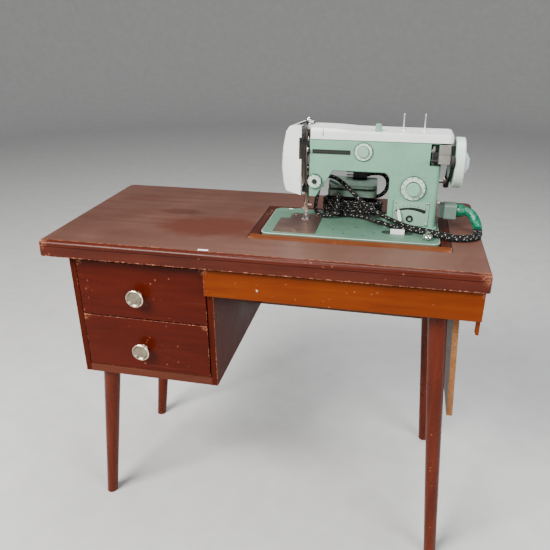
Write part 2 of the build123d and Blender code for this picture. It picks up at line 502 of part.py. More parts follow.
# ---------------------------------------------------------------- drive
def drive():
    wheel = turned_x([
        (377, 0), (377, DRUM_R), (378.4, DRUM_R), (378.8, GROOVE_R), (385.2, GROOVE_R), (385.6, DRUM_R),
        (386, WHEEL_R - 2), (388, WHEEL_R), (403, WHEEL_R), (405, WHEEL_R - 2), (405, WHEEL_R - 6),
        (398, WHEEL_R - 9), (398, 0),
    ], SHAFT_Y, SHAFT_Z)
    shaft = rod_x(86, 378, SHAFT_Y, SHAFT_Z, SHAFT_R)
    crank = rod_x(83.8, 88.6, SHAFT_Y, SHAFT_Z, 12)
    save("handwheel", HEAD, wheel + shaft + crank)
    clutch = turned_x([(398.3, 0), (398.3, 22), (410, 22), (412, 20.5), (415, 13), (416.5, 12), (416.5, 0)], SHAFT_Y, SHAFT_Z)
    save("clutch_knob", HEAD, clutch)

    x0, x1 = BELT_X0, BELT_X1
    pulley = turned_x([
        (x0 - 3, 0), (x0 - 3, 12), (x0 - 1, 12), (x0 - 0.3, MOTOR_PULLEY_R), (x1 + 0.3, MOTOR_PULLEY_R), (x1 + 1, 12),
        (x1 + 3, 12), (x1 + 3, 0),
    ], MOTOR_Y, MOTOR_Z)
    save("motor_pulley", HEAD, pulley + rod_x(MOTOR_X1 + 0.3, x0 - 2, MOTOR_Y, MOTOR_Z, 3))

    def loop(grow):
        big, small = GROOVE_R + grow, MOTOR_PULLEY_R + grow
        dy, dz = MOTOR_Y - SHAFT_Y, MOTOR_Z - SHAFT_Z
        reach = math.hypot(dy, dz)
        lean, spread = math.atan2(dz, dy), math.acos((big - small) / reach)
        corners = []
        for side, r, y, z in ((1, big, SHAFT_Y, SHAFT_Z), (1, small, MOTOR_Y, MOTOR_Z),
                              (-1, small, MOTOR_Y, MOTOR_Z), (-1, big, SHAFT_Y, SHAFT_Z)):
            angle = lean + side * spread
            corners.append((x0, y + r * math.cos(angle), z + r * math.sin(angle)))
        span = extrude(make_face(Polyline(*corners, close=True)), amount=x1 - x0, dir=(1, 0, 0))
        ends = rod_x(x0, x1, SHAFT_Y, SHAFT_Z, big) + rod_x(x0, x1, MOTOR_Y, MOTOR_Z, small)
        return span + ends

    save("drive_belt", HEAD, loop(0.4 + BELT_T) - loop(0.4))

    motor = turned_x([
        (MOTOR_X0, 0), (MOTOR_X0, 16), (MOTOR_X0 + 4, 24), (MOTOR_X0 + 12, MOTOR_R), (MOTOR_X1 - 12, MOTOR_R),
        (MOTOR_X1 - 3, 22), (MOTOR_X1, 12), (MOTOR_X1, 0),
    ], MOTOR_Y, MOTOR_Z)
    motor += slab(300, 330, ARM_Y1, MOTOR_Y - 20, 60, 92)
    save("motor", HEAD, motor)

    hook = rod_y(84, 102, NEEDLE_X, -26, 19) - rod_y(83, 94, NEEDLE_X, -26, 13)
    hook += rod_y(93, 98, NEEDLE_X, -26, 4) + rod_y(102, 150, NEEDLE_X, -26, 4)
    save("shuttle_hook", HEAD, hook)


def bobbin_winder():
    y, z = 80.0, 149.0
    block = slab(353, 375.6, ARM_Y0, 108, 144, 180)
    block = fillet(edges_along(block, Axis.X), 2)
    bracket = slab(341, 345, ARM_Y0 + 2, 108, 140, 176) + slab(341, 354, 100, 108, 140, 150)
    bracket += slab(353, 375.6, y - 5, ARM_Y0, z - 5, z + 8)
    frame = block + bracket + rod_x(337, 342, 98, 166, 5)
    frame -= rod_x(350, 377, y, z, 2.5 + RUN)
    save("bobbin_winder", HEAD, frame)
    wheel = turned_x([(377, 0), (377, 10.9), (378, 11.9), (383, 11.9), (384, 10.9), (384, 0)], y, z)
    spindle = rod_x(338, 377.5, y, z, 2.5) + rod_x(350.4, 352.4, y, z, 5.5)
    save("bobbin_winder_wheel", HEAD, wheel + spindle)


# ---------------------------------------------------------------- plug, leads and foot controller
WRAP = [(403, 120, 36), (418, 119, 37.5), (433, 114, 34), (443, 105, 23), (447.3, 94, 12.5), (447.5, 82, 8)]
WRAP_D = 19.0
CONTROLLER_ROUTE = [
    (442.9, 82, 7), (442.5, 70, 4.6), (438.5, 58.5, 3), (429, 49.5, 2.8), (414, 44, 2.8), (398, 43.5, 3.2), (381, 48, 4.9),
    (365, 56, 5), (349, 64.5, 5), (332, 72, 5), (314, 76, 6.5), (297, 74.7, 11.1), (279, 74.2, 17.6), (263, 77, 23),
    (247, 82, 28), (232, 89.5, 33.5), (216, 98.5, 41), (200, 110, 49.5), (184, 122, 60), (169, 134, 70.5),
    (154, 147, 78.5), (138, 162.5, 83.5), (120, 177.5, 83.5), (105, 186.5, 72), (98.5, 184, 54.5), (96.5, 172, 38),
    (95.5, 157, 25), (96.5, 142, 14.5), (102.5, 129, 9), (113.5, 121, 7.2), (126, 118.6, 6.9), (135, 118.5, 7),
    (144.3, 118.5, 12.4), (149.6, 118.5, 21.6), (149.6, 118.5, 36.4), (149.6, 123.9, 45.6), (149.6, 133.1, 51),
    (149.6, 143.5, 51),
]
MAINS_ROUTE = [
    (452.1, 82, 7), (452.3, 68, 4.5), (449.5, 54, 3), (441, 42, 2.8), (427, 33, 2.8), (410, 27.5, 2.8), (392, 28.5, 3.4),
    (375, 34, 4.9), (357, 42.5, 5), (338, 51.5, 5), (319, 59, 5), (301, 66, 5), (284, 71.5, 5.4), (268, 76.5, 7.5),
    (252, 84, 9.4), (238, 96, 8.4), (226, 112, 6.2), (207, 131, 5), (180, 136, 4.9),
]
MAINS_TAIL = [
    (180, 176.5, 38.3), (204, 177.1, 38.4), (226, 180.5, 38.5), (241, 187, 40), (252.5, 196.5, 50.5), (256, 203.5, 66),
    (250, 205.5, 81), (236, 201, 90), (214, 195.5, 88),
]


def cord_path(points):
    """Straight runs joined by tangent arcs as large as the runs allow; returns the wire and the radii."""
    spots = [Vector(*p) for p in points]
    radii = []
    for before, here, after in zip(spots, spots[1:], spots[2:]):
        arriving, leaving = here - before, after - here
        turn = math.radians(arriving.get_angle(leaving))
        radii.append(0.45 * min(arriving.length, leaving.length) / math.tan(turn / 2))
    return FilletPolyline(*spots, radius=radii), radii


def tube(name, points, diameter):
    path, radii = cord_path(points)
    start = Plane(origin=path @ 0, z_dir=path % 0)
    solid = sweep(start * Circle(diameter / 2), path)
    ideal = math.pi * diameter ** 2 / 4 * path.length
    print(f"{name}: length {path.length:.0f}, volume ratio {solid.volume / ideal:.4f}, "
          f"smallest radius {min(radii):.0f}, radii {[round(r) for r in radii]}")
    return solid


def pile_outline():
    """The outer shape of the loose turns of the mains lead: one long ring."""
    def block(grow, z0, z1):
        x, y = PILE_STRAIGHT + PILE_BEND + grow, PILE_BEND + grow
        shape = slab(PILE_X - x, PILE_X + x, PILE_Y - y, PILE_Y + y, z0, z1)
        return fillet(edges_along(shape, Axis.Z), y - 0.05)

    return block(CORD_D / 2, PILE_Z0, PILE_Z1) - block(-CORD_D / 2, PILE_Z0 - 1, PILE_Z1 + 1)


def leads():
    plug = fillet(slab(378, 403, 104, 136, 18, 51).edges().filter_by(Axis.X), 5)
    plug += slab(ARM_X1, 378, 108, 132, 22, 47)
    save("machine_plug", HEAD, plug)
    wrap = tube("cord_wrap", WRAP, WRAP_D)
    wrap += turned_x([(403, 0), (403, 13), (409, 14.5), (418, 13), (422, 8), (422, 0)], 119.5, 36.5)
    save("cord_wrap", HEAD, wrap)
    save("controller_cord", HEAD, tube("controller_cord", CONTROLLER_ROUTE, CORD_D))
    save("mains_cord", HEAD, tube("mains_cord", MAINS_ROUTE, CORD_D), tube("mains_tail", MAINS_TAIL, CORD_D))
    save("cord_coil", HEAD, pile_outline())
    body = slab(176, 207, 182, 209, 77.5, 98.5)
    body = fillet(edges_along(body, Axis.X), 6)
    body += turned_x([(206, 0), (206, 7.5), (214, 5.6), (214, 0)], 195.5, 88)
    for y, z in ((189, 92), (202, 92), (195.5, 83)):
        body += slab(160, 177, y - 3, y + 3, z - 0.8, z + 0.8)
    save("mains_plug", HEAD, body)


def foot_controller():
    x0, x1, y0, y1, z0 = PEDAL_X0, PEDAL_X1, PEDAL_Y0, PEDAL_Y1, PEDAL_Z0
    base = slab(x0, x1, y0, y1, z0, z0 + 13)
    base = fillet(edges_along(base, Axis.Z), 14)
    for x in (x0 + 20, x1 - 26):
        base += slab(x, x + 6, y1 - 14, y1 - 4, z0 + 13, z0 + 20)
        base += rod_x(x, x + 6, y1 - 9, z0 + 20, 4)
    base += rod_x(x0 + 20, x1 - 20, y1 - 9, z0 + 20, 2)
    base += turned_y([(y0 - 6.5, 0), (y0 - 6.5, 5.4), (y0 + 1, 6.8), (y0 + 1, 0)], GLAND_X, GLAND_Z)
    save("controller_base", HEAD, base)
    outline = [(y0 + 1, z0 + 19), (y1 - 1, z0 + 16), (y1 - 1, z0 + 33), (y1 - 12, z0 + 33), (y0 + 1, z0 + 26)]
    profile = Polyline(*[(x0 + 1, y, z) for y, z in outline], close=True)
    treadle = extrude(make_face(profile), amount=x1 - x0 - 2, dir=(1, 0, 0))
    treadle = fillet(treadle.edges().filter_by(Axis.Z), 13)
    treadle -= slab(x0 + 19, x0 + 27, y1 - 16, y1, z0, z0 + 26)
    treadle -= slab(x1 - 27, x1 - 19, y1 - 16, y1, z0, z0 + 26)
    treadle -= rod_x(x0 + 10, x1 - 10, y1 - 9, z0 + 20, 2 + RUN)
    save("controller_treadle", HEAD, treadle)


# ---------------------------------------------------------------- build and write
table_top()
opening_frame()
carcass()
drawer("upper_drawer", UPPER_Z0, UPPER_Z1)
drawer("lower_drawer", LOWER_Z0, LOWER_Z1)
legs()
hinges()
bed()
plates()
arm()
top_cover()
face_cover()
needle_parts()
controls()
drive()
bobbin_winder()
leads()
foot_controller()

os.makedirs("parts", exist_ok=True)
for name, solids in nodes.items():
    shape = solids[0] if len(solids) == 1 else Compound(children=solids)
    shape.label = name
    export_step(shape, f"parts/{name}.step")
print(len(nodes), "nodes")
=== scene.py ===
import math

import bmesh
import bpy
from mathutils import Matrix, Quaternion, Vector


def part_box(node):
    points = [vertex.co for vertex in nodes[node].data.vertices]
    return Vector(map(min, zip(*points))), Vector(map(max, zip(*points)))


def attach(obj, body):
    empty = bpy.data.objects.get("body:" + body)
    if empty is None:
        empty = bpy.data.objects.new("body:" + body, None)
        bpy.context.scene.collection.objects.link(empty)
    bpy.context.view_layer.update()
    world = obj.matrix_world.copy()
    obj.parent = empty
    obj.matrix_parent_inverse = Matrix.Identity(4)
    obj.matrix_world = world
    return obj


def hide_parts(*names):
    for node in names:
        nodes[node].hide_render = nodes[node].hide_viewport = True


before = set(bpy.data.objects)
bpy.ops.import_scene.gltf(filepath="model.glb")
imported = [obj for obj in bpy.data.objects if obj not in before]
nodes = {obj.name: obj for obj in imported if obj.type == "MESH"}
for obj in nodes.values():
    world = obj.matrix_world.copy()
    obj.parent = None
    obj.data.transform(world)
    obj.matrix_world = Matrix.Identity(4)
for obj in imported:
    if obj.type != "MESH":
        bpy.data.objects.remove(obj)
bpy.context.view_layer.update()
MM = 0.001
X, Y, Z = 0, 1, 2

# ---------------------------------------------------------------- reference places
table_lo, table_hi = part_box("table_top")
lip_lo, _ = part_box("front_lipping")
bed_lo, bed_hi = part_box("bed")
SURFACE = table_hi.z                                    # table surface
TABLE = Vector((lip_lo.x, lip_lo.y, SURFACE))           # left front corner of the table
HEAD = Vector((bed_lo.x, bed_lo.y, bed_hi.z))           # left front corner of the bed


def on_table(x, y, z):
    """A place given in millimetres from the table's left front corner."""
    return TABLE + Vector((x, y, z)) * MM


def on_head(x, y, z):
    """A place given in millimetres from the bed's left front corner."""
    return HEAD + Vector((x, y, z)) * MM


def middle_of(node):
    low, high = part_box(node)
    return (low + high) / 2


def dimmed(colour, share):
    return tuple(c * share for c in colour)


# ---------------------------------------------------------------- camera, floor and light
CAMERA_FROM_CORNER = Vector((0.71498, -0.96988, 0.41656))      # metres from the table's left front corner
CAMERA_YAW, CAMERA_PITCH, CAMERA_ROLL = -0.2160, -0.4238, -0.0051
CAMERA_LENS, CAMERA_SENSOR = 37.36, 36.0
FLOOR_FLAT, FLOOR_RIM = 5.5, 2.0            # radius of the flat part, and of the curved rim


def set_camera():
    data = bpy.data.cameras.new("camera")
    data.sensor_width = CAMERA_SENSOR
    data.lens = CAMERA_LENS
    data.clip_start = 0.02
    camera = bpy.data.objects.new("camera", data)
    bpy.context.scene.collection.objects.link(camera)
    camera.location = TABLE + CAMERA_FROM_CORNER
    level = math.cos(CAMERA_PITCH)
    forward = Vector((math.sin(CAMERA_YAW) * level, math.cos(CAMERA_YAW) * level, math.sin(CAMERA_PITCH)))
    camera.rotation_mode = "QUATERNION"
    camera.rotation_quaternion = forward.to_track_quat("-Z", "Y") @ Quaternion((0, 0, 1), CAMERA_ROLL)
    bpy.context.scene.camera = camera


def mesh_object(name, verts, faces, smooth=False):
    mesh = bpy.data.meshes.new(name)
    mesh.from_pydata([tuple(v) for v in verts], [], faces)
    mesh.update()
    if smooth:
        mesh.polygons.foreach_set("use_smooth", [True] * len(mesh.polygons))
    item = bpy.data.objects.new(name, mesh)
    bpy.context.scene.collection.objects.link(item)
    return item


def add_stage():
    """A wide pale floor whose far rim curves up, the same all round."""
    steps, sides = 10, 72
    profile = [(0.02, 0.0), (FLOOR_FLAT, 0.0)]
    for i in range(1, steps + 1):
        a = math.pi / 2 * i / steps
        profile.append((FLOOR_FLAT + FLOOR_RIM * math.sin(a), FLOOR_RIM * (1 - math.cos(a))))
    verts, faces = [], []
    for radius, height in profile:
        for k in range(sides):
            a = 2 * math.pi * k / sides
            verts.append((radius * math.cos(a), radius * math.sin(a), height))
    for i in range(len(profile) - 1):
        for k in range(sides):
            here, following = i * sides + k, i * sides + (k + 1) % sides
            faces.append((here, here + sides, following + sides, following))
    faces.append(tuple(range(sides)))
    floor = mesh_object("floor", verts, faces, smooth=True)
    paint = Paint("floor_paint")
    tone = paint.two_tone(paint.noise(14, 6, 0.6), (0.60, 0.60, 0.59), (0.66, 0.66, 0.65))
    floor.data.materials.append(paint.finish(tone, 0.9, specular=0.2))


def add_light(name, place, aim, size, power, colour=(1, 1, 1)):
    data = bpy.data.lights.new(name, "AREA")
    data.shape = "RECTANGLE"
    data.size, data.size_y = size
    data.energy = power
    data.color = colour
    lamp = bpy.data.objects.new(name, data)
    bpy.context.scene.collection.objects.link(lamp)
    lamp.location = place
    lamp.rotation_mode = "QUATERNION"
    lamp.rotation_quaternion = (Vector(aim) - Vector(place)).to_track_quat("-Z", "Y")


def set_lights():
    middle = (0.0, 0.0, 0.7)
    add_light("key", (-1.3, -1.9, 2.6), middle, (1.5, 1.2), 190, (1.0, 0.98, 0.95))
    add_light("fill", (2.2, -1.6, 1.9), middle, (1.4, 1.4), 62, (0.95, 0.98, 1.0))
    add_light("top", (0.2, 0.5, 2.9), middle, (1.6, 1.2), 52)
    world = bpy.data.worlds.new("studio")
    world.use_nodes = True
    background = world.node_tree.nodes["Background"]
    background.inputs["Color"].default_value = (0.80, 0.82, 0.85, 1)
    background.inputs["Strength"].default_value = 0.22
    bpy.context.scene.world = world


# ---------------------------------------------------------------- material kit
class Paint:
    """A procedural material, written as a few calls that each add shader nodes and return a socket."""

    def __init__(self, name):
        self.material = bpy.data.materials.new(name)
        self.material.use_nodes = True
        self.tree = self.material.node_tree
        self.shader = self.tree.nodes["Principled BSDF"]
        self.coords = self.tree.nodes.new("ShaderNodeTexCoord")

    def node(self, kind, **settings):
        made = self.tree.nodes.new(kind)
        for key, value in settings.items():
            setattr(made, key, value)
        return made

    def feed(self, socket, value):
        if isinstance(value, bpy.types.NodeSocket):
            self.tree.links.new(value, socket)
        elif isinstance(value, tuple) and len(value) == 3 and socket.type == "RGBA":
            socket.default_value = (*value, 1)
        else:
            socket.default_value = value

    def place(self, stretch=(1, 1, 1), turn=(0, 0, 0), shift=(0, 0, 0)):
        mapping = self.node("ShaderNodeMapping")
        self.feed(mapping.inputs["Vector"], self.coords.outputs["Object"])
        mapping.inputs["Scale"].default_value = stretch
        mapping.inputs["Rotation"].default_value = turn
        mapping.inputs["Location"].default_value = shift
        return mapping.outputs["Vector"]

    def noise(self, scale, detail=4.0, rough=0.5, where=None, warp=0.0):
        made = self.node("ShaderNodeTexNoise")
        self.feed(made.inputs["Vector"], where or self.coords.outputs["Object"])
        made.inputs["Scale"].default_value = scale
        made.inputs["Detail"].default_value = detail
        made.inputs["Roughness"].default_value = rough
        made.inputs["Distortion"].default_value = warp
        return made.outputs["Fac"]

    def cells(self, scale, where=None):
        made = self.node("ShaderNodeTexVoronoi")
        self.feed(made.inputs["Vector"], where or self.coords.outputs["Object"])
        made.inputs["Scale"].default_value = scale
        return made.outputs["Distance"]

    def math(self, operation, *values):
        made = self.node("ShaderNodeMath", operation=operation)
        for socket, value in zip(made.inputs, values):
            self.feed(socket, value)
        return made.outputs[0]

    def add(self, first, second):
        return self.math("ADD", first, second)

    def minus(self, first, second):
        return self.math("SUBTRACT", first, second)

    def times(self, first, second):
        return self.math("MULTIPLY", first, second)

    def below(self, value, limit):
        return self.math("LESS_THAN", value, limit)

    def above(self, value, limit):
        return self.math("GREATER_THAN", value, limit)

    def most(self, first, second):
        return self.math("MAXIMUM", first, second)

    def size_of(self, value):
        return self.math("ABSOLUTE", value)

    def blend(self, first, second, share):
        """A weighted sum: share of the first and the rest of the second."""
        return self.add(self.times(first, share), self.times(second, round(1 - share, 3)))

    def band(self, value, low, high, start=0.0, end=1.0):
        """value stretched so that low gives start and high gives end, held beyond them."""
        made = self.node("ShaderNodeMapRange")
        spans = {"Value": value, "From Min": low, "From Max": high, "To Min": start, "To Max": end}
        for key, number in spans.items():
            self.feed(made.inputs[key], number)
        return made.outputs["Result"]

    def ramp(self, value, stops):
        made = self.node("ShaderNodeValToRGB")
        self.feed(made.inputs["Fac"], value)
        elements = made.color_ramp.elements
        while len(elements) < len(stops):
            elements.new(0.5)
        for element, (position, colour) in zip(elements, stops):
            element.position = position
            element.color = (*colour, 1)
        return made.outputs["Color"]

    def two_tone(self, value, dark, light):
        return self.ramp(value, [(0.3, dark), (0.7, light)])

    def mix(self, share, first, second):
        made = self.node("ShaderNodeMix", data_type="RGBA")
        self.feed(made.inputs[0], share)
        self.feed(made.inputs[6], first)
        self.feed(made.inputs[7], second)
        return made.outputs[2]

    def split(self, vector=None):
        made = self.node("ShaderNodeSeparateXYZ")
        self.feed(made.inputs[0], vector or self.coords.outputs["Object"])
        return made.outputs

    def bump(self, height, strength, distance):
        made = self.node("ShaderNodeBump")
        self.feed(made.inputs["Height"], height)
        made.inputs["Strength"].default_value = strength
        made.inputs["Distance"].default_value = distance
        return made.outputs["Normal"]

    def edge_distance(self, low, high):
        """How far a point on a box's surface is from the box's nearest edge, in metres."""
        away = []
        for spot, start, end in zip(self.split(), low, high):
            from_low = self.size_of(self.minus(spot, start))
            from_high = self.size_of(self.minus(end, spot))
            away.append(self.math("MINIMUM", from_low, from_high))
        a, b, c = away
        return self.most(self.math("MINIMUM", a, b), self.math("MINIMUM", self.most(a, b), c))

    def near(self, point, radius, soft):
        """1 inside a round spot about a point, 0 outside it, with a soft rim."""
        made = self.node("ShaderNodeVectorMath", operation="DISTANCE")
        self.feed(made.inputs[0], self.coords.outputs["Object"])
        made.inputs[1].default_value = point
        return self.band(made.outputs["Value"], radius * (1 - soft), radius * (1 + soft), 1.0, 0.0)

    def finish(self, colour, rough=0.5, metal=0.0, normal=None, coat=0.0, coat_rough=0.1, specular=0.5):
        inputs = self.shader.inputs
        self.feed(inputs["Base Color"], colour)
        self.feed(inputs["Roughness"], rough)
        self.feed(inputs["Metallic"], metal)
        inputs["Specular IOR Level"].default_value = specular
        if coat:
            inputs["Coat Weight"].default_value = coat
            inputs["Coat Roughness"].default_value = coat_rough
        if normal is not None:
            self.feed(inputs["Normal"], normal)
        return self.material


def dress(material, *names):
    """Give CAD nodes or pieces one material."""
    for name in names:
        item = nodes[name] if isinstance(name, str) else name
        item.data.materials.clear()
        item.data.materials.append(material)


# ---------------------------------------------------------------- wood
CHIP_TONE = (0.42, 0.15, 0.08)
TOP_STAINS = (      # middle in mm on the table, half size along x and y in mm, strength, colour
    ((328, 160), (150, 75), 0.75, (0.072, 0.0150, 0.0070)),
    ((228, 243), (62, 24), 0.72, (0.048, 0.0150, 0.0080)),
    ((95, 330), (60, 40), 0.40, (0.060, 0.016, 0.009)),
    ((150, 230), (90, 30), 0.30, (0.070, 0.022, 0.013)),
    ((385, 260), (40, 70), 0.35, (0.066, 0.017, 0.009)),
    ((300, 400), (110, 22), 0.30, (0.070, 0.020, 0.011)),
)


def warp_vector(paint, amount):
    """Object coordinates pushed about by noise, so that round cells turn into ragged ones."""
    push = paint.node("ShaderNodeTexNoise")
    push.inputs["Scale"].default_value = 260
    scaled = paint.node("ShaderNodeVectorMath", operation="SCALE")
    paint.feed(scaled.inputs[0], push.outputs["Color"])
    scaled.inputs["Scale"].default_value = amount
    added = paint.node("ShaderNodeVectorMath", operation="ADD")
    paint.feed(added.inputs[0], paint.coords.outputs["Object"])
    paint.feed(added.inputs[1], scaled.outputs[0])
    return added.outputs[0]


def stained_wood(name, dark, light, node, along, chips, rough, shine):
    """Stained and lacquered board: streaks along one axis, mottling, fine scratches and chipped edges."""
    paint = Paint(name)
    stretch = [9.0, 9.0, 9.0]
    stretch[along] = 0.7
    streaks = paint.noise(9, 8, 0.62, paint.place(tuple(stretch)), warp=0.4)
    mottle = paint.noise(6, 5, 0.6)
    tone = paint.ramp(paint.blend(streaks, mottle, 0.6), [(0.32, dark), (0.68, light)])
    fine = [260.0, 260.0, 260.0]
    fine[along] = 6.0
    drawn_out = paint.noise(1.0, 2, 0.5, paint.place(tuple(fine), turn=(0.02, 0.03, 0.05)))
    scratches = paint.band(drawn_out, 0.66, 0.74)
    tone = paint.mix(paint.times(scratches, 0.06), tone, CHIP_TONE)
    nicks = paint.times(paint.below(paint.cells(70, warp_vector(paint, 0.009)), 0.12),
                       paint.above(paint.noise(13, 5, 0.7), 0.545))
    tone = paint.mix(paint.times(nicks, 0.8), tone, CHIP_TONE)
    height = paint.add(paint.times(streaks, 0.5), paint.times(scratches, -0.3))
    roughness = paint.band(mottle, 0.3, 0.7, rough - 0.06, rough + 0.1)
    if chips:
        low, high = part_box(node)
        edge = paint.edge_distance(low, high)
        ragged = paint.band(paint.noise(150, 7, 0.75), 0.47, 0.78, 0.0, chips)
        worn = paint.below(edge, ragged)
        for corner_x in (low.x, high.x):
            knocked = paint.times(paint.near((corner_x, low.y, high.z), chips * 3.2, 0.5),
                                 paint.above(paint.noise(210, 5, 0.7), 0.50))
            worn = paint.most(worn, knocked)
        bare = paint.two_tone(paint.noise(300, 3), dimmed(CHIP_TONE, 0.55), CHIP_TONE)
        tone = paint.mix(worn, tone, bare)
        roughness = paint.most(roughness, paint.times(worn, 0.7))
        height = paint.minus(height, paint.times(worn, 1.5))
    return paint.finish(tone, roughness, normal=paint.bump(height, 0.25, 0.0006), specular=shine)


def table_top_wood():
    """Mauve-brown lacquered top, paler towards the right and front, with dark patches and a chipped edge."""
    paint = Paint("top_lacquer")
    low, high = table_lo, table_hi
    streaks = paint.noise(4, 8, 0.6, paint.place((1.2, 14, 14)), warp=0.3)
    clouds = paint.noise(3.2, 6, 0.62, warp=0.6)
    tone = paint.ramp(paint.blend(streaks, clouds, 0.45), [
        (0.30, (0.050, 0.017, 0.010)), (0.52, (0.080, 0.033, 0.023)), (0.74, (0.120, 0.056, 0.042))])
    # paler towards the right end and the front of the top
    right = paint.band(paint.split()[0], low.x, high.x, 0.0, 1.0)
    front = paint.band(paint.split()[1], low.y, low.y + 0.13, 1.0, 0.0)
    pale = paint.math("MINIMUM", 1.0, paint.add(paint.times(right, 0.45), paint.times(front, 0.35)))
    paler_tone = paint.two_tone(clouds, (0.115, 0.052, 0.036), (0.175, 0.092, 0.070))
    tone = paint.mix(paint.times(pale, 0.75), tone, paler_tone)
    for (x, y), (wide, deep), strength, colour in TOP_STAINS:
        squeezed = paint.place((1.0, wide / deep, 1.0))
        away = paint.node("ShaderNodeVectorMath", operation="DISTANCE")
        paint.feed(away.inputs[0], squeezed)
        centre = on_table(x, y, 0)
        away.inputs[1].default_value = (centre.x, centre.y * wide / deep, centre.z)
        wander = paint.times(paint.minus(paint.noise(15, 7, 0.68), 0.5), wide * MM * 1.3)
        ragged_edge = paint.add(away.outputs["Value"], wander)
        spot = paint.band(ragged_edge, wide * MM * 0.60, wide * MM * 1.05, 1.0, 0.0)
        tone = paint.mix(paint.times(spot, strength), tone, colour)
    specks = paint.below(paint.cells(120), 0.045)
    tone = paint.mix(paint.times(specks, 0.5), tone, (0.20, 0.12, 0.09))
    edge = paint.edge_distance(low, high)
    tone = paint.mix(paint.below(paint.split()[2], high.z - 0.0015), tone, (0.06, 0.008, 0.003))
    ragged = paint.band(paint.noise(80, 6, 0.7), 0.52, 0.76, 0.0, 0.006)
    worn = paint.below(edge, ragged)
    tone = paint.mix(worn, tone, (0.30, 0.10, 0.045))
    roughness = paint.band(clouds, 0.3, 0.7, 0.30, 0.46)
    height = paint.minus(paint.times(streaks, 0.4), worn)
    return paint.finish(tone, roughness, normal=paint.bump(height, 0.2, 0.0005), specular=0.22)


def rough_wood(name, dark, light, along):
    """Unfinished softwood or hardboard."""
    paint = Paint(name)
    stretch = [14.0, 14.0, 14.0]
    stretch[along] = 0.9
    streaks = paint.noise(6, 8, 0.65, paint.place(tuple(stretch)), warp=0.8)
    fibre = paint.noise(500, 2, 0.5)
    tone = paint.two_tone(paint.blend(streaks, fibre, 0.8), dark, light)
    return paint.finish(tone, 0.82, normal=paint.bump(streaks, 0.4, 0.0008), specular=0.3)


def chipboard():
    """Raw pressed chips on the edges, brown lacquer on the inner and outer faces."""
    paint = Paint("chipboard")
    flakes = paint.cells(330, paint.place((1, 1, 2.4)))
    mixed = paint.noise(420, 4, 0.7)
    raw = paint.ramp(paint.blend(flakes, mixed, 0.5), [
        (0.25, (0.10, 0.035, 0.012)), (0.5, (0.27, 0.11, 0.038)), (0.75, (0.40, 0.19, 0.075))])
    streaks = paint.noise(7, 6, 0.6, paint.place((9, 0.8, 9)))
    face = paint.two_tone(streaks, (0.022, 0.006, 0.003), (0.045, 0.013, 0.006))
    normal_x = paint.size_of(paint.split(paint.coords.outputs["Normal"])[0])
    on_face = paint.above(normal_x, 0.5)
    tone = paint.mix(on_face, raw, face)
    height = paint.times(flakes, paint.minus(1.0, on_face))
    rough = paint.band(on_face, 0, 1, 0.9, 0.42)
    return paint.finish(tone, rough, normal=paint.bump(height, 0.6, 0.0012), specular=0.35)


# ---------------------------------------------------------------- metal, paint, plastic
def enamel(name, colour, rough=0.30, grime=0.35, chips=None, bare_shaded_below=None, over=None):
    """Sprayed enamel on a casting: faint orange peel, soft grime in patches and dulled spots."""
    paint = Paint(name)
    cloud = paint.noise(14, 6, 0.6, warp=0.5)
    peel = paint.noise(900, 2, 0.5)
    dirt = paint.band(paint.noise(38, 7, 0.68), 0.52, 0.80)
    light = tuple(min(1.0, c * 1.07) for c in colour)
    dark = dimmed(colour, 0.90)
    tone = paint.two_tone(cloud, dark, light)
    tone = paint.mix(paint.times(dirt, grime), tone, dimmed(colour, 0.45))
    specks = paint.below(paint.cells(210), 0.05)
    tone = paint.mix(paint.times(specks, 0.4), tone, dimmed(colour, 0.3))
    roughness = paint.add(paint.band(cloud, 0.3, 0.7, rough - 0.05, rough + 0.06), paint.times(dirt, 0.2))
    if chips:
        node, width, under = chips
        low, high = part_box(node)
        ragged = paint.band(paint.noise(140, 6, 0.7), 0.56, 0.78, 0.0, width)
        worn = paint.below(paint.edge_distance(low, high), ragged)
        tone = paint.mix(worn, tone, under)
    if over is not None:
        tone = over(paint, tone)
    if bare_shaded_below is not None:
        # painted shade: the bare casting inside the head made near-black
        bare = paint.below(paint.split()[0], bare_shaded_below)
        tone = paint.mix(bare, tone, (0.010, 0.010, 0.010))
        roughness = paint.most(roughness, paint.times(bare, 0.6))
    peel_bump = paint.bump(peel, 0.12, 0.0002)
    return paint.finish(tone, roughness, normal=peel_bump, coat=0.12, coat_rough=0.12, specular=0.35)


def metal(name, colour, rough=0.2, brushed=None, tarnish=0.4, tarnish_tone=(0.16, 0.11, 0.08)):
    """Plated or ground metal with cloudy tarnish, and brushing along one axis if asked for."""
    paint = Paint(name)
    cloud = paint.noise(60, 6, 0.65, warp=0.6)
    stain = paint.band(paint.noise(130, 6, 0.7), 0.54, 0.75)
    tone = paint.two_tone(cloud, dimmed(colour, 0.82), colour)
    tone = paint.mix(paint.times(stain, tarnish), tone, tarnish_tone)
    stretch = [1500.0, 1500.0, 1500.0]
    if brushed is not None:
        stretch[brushed] = 20.0
    lines = paint.noise(1.0, 3, 0.6, paint.place(tuple(stretch)))
    roughness = paint.add(paint.band(cloud, 0.3, 0.7, rough, rough + 0.1), paint.times(stain, 0.25))
    strength = 0.12 if brushed is None else 0.35
    return paint.finish(tone, roughness, 1.0, normal=paint.bump(lines, strength, 0.0001))


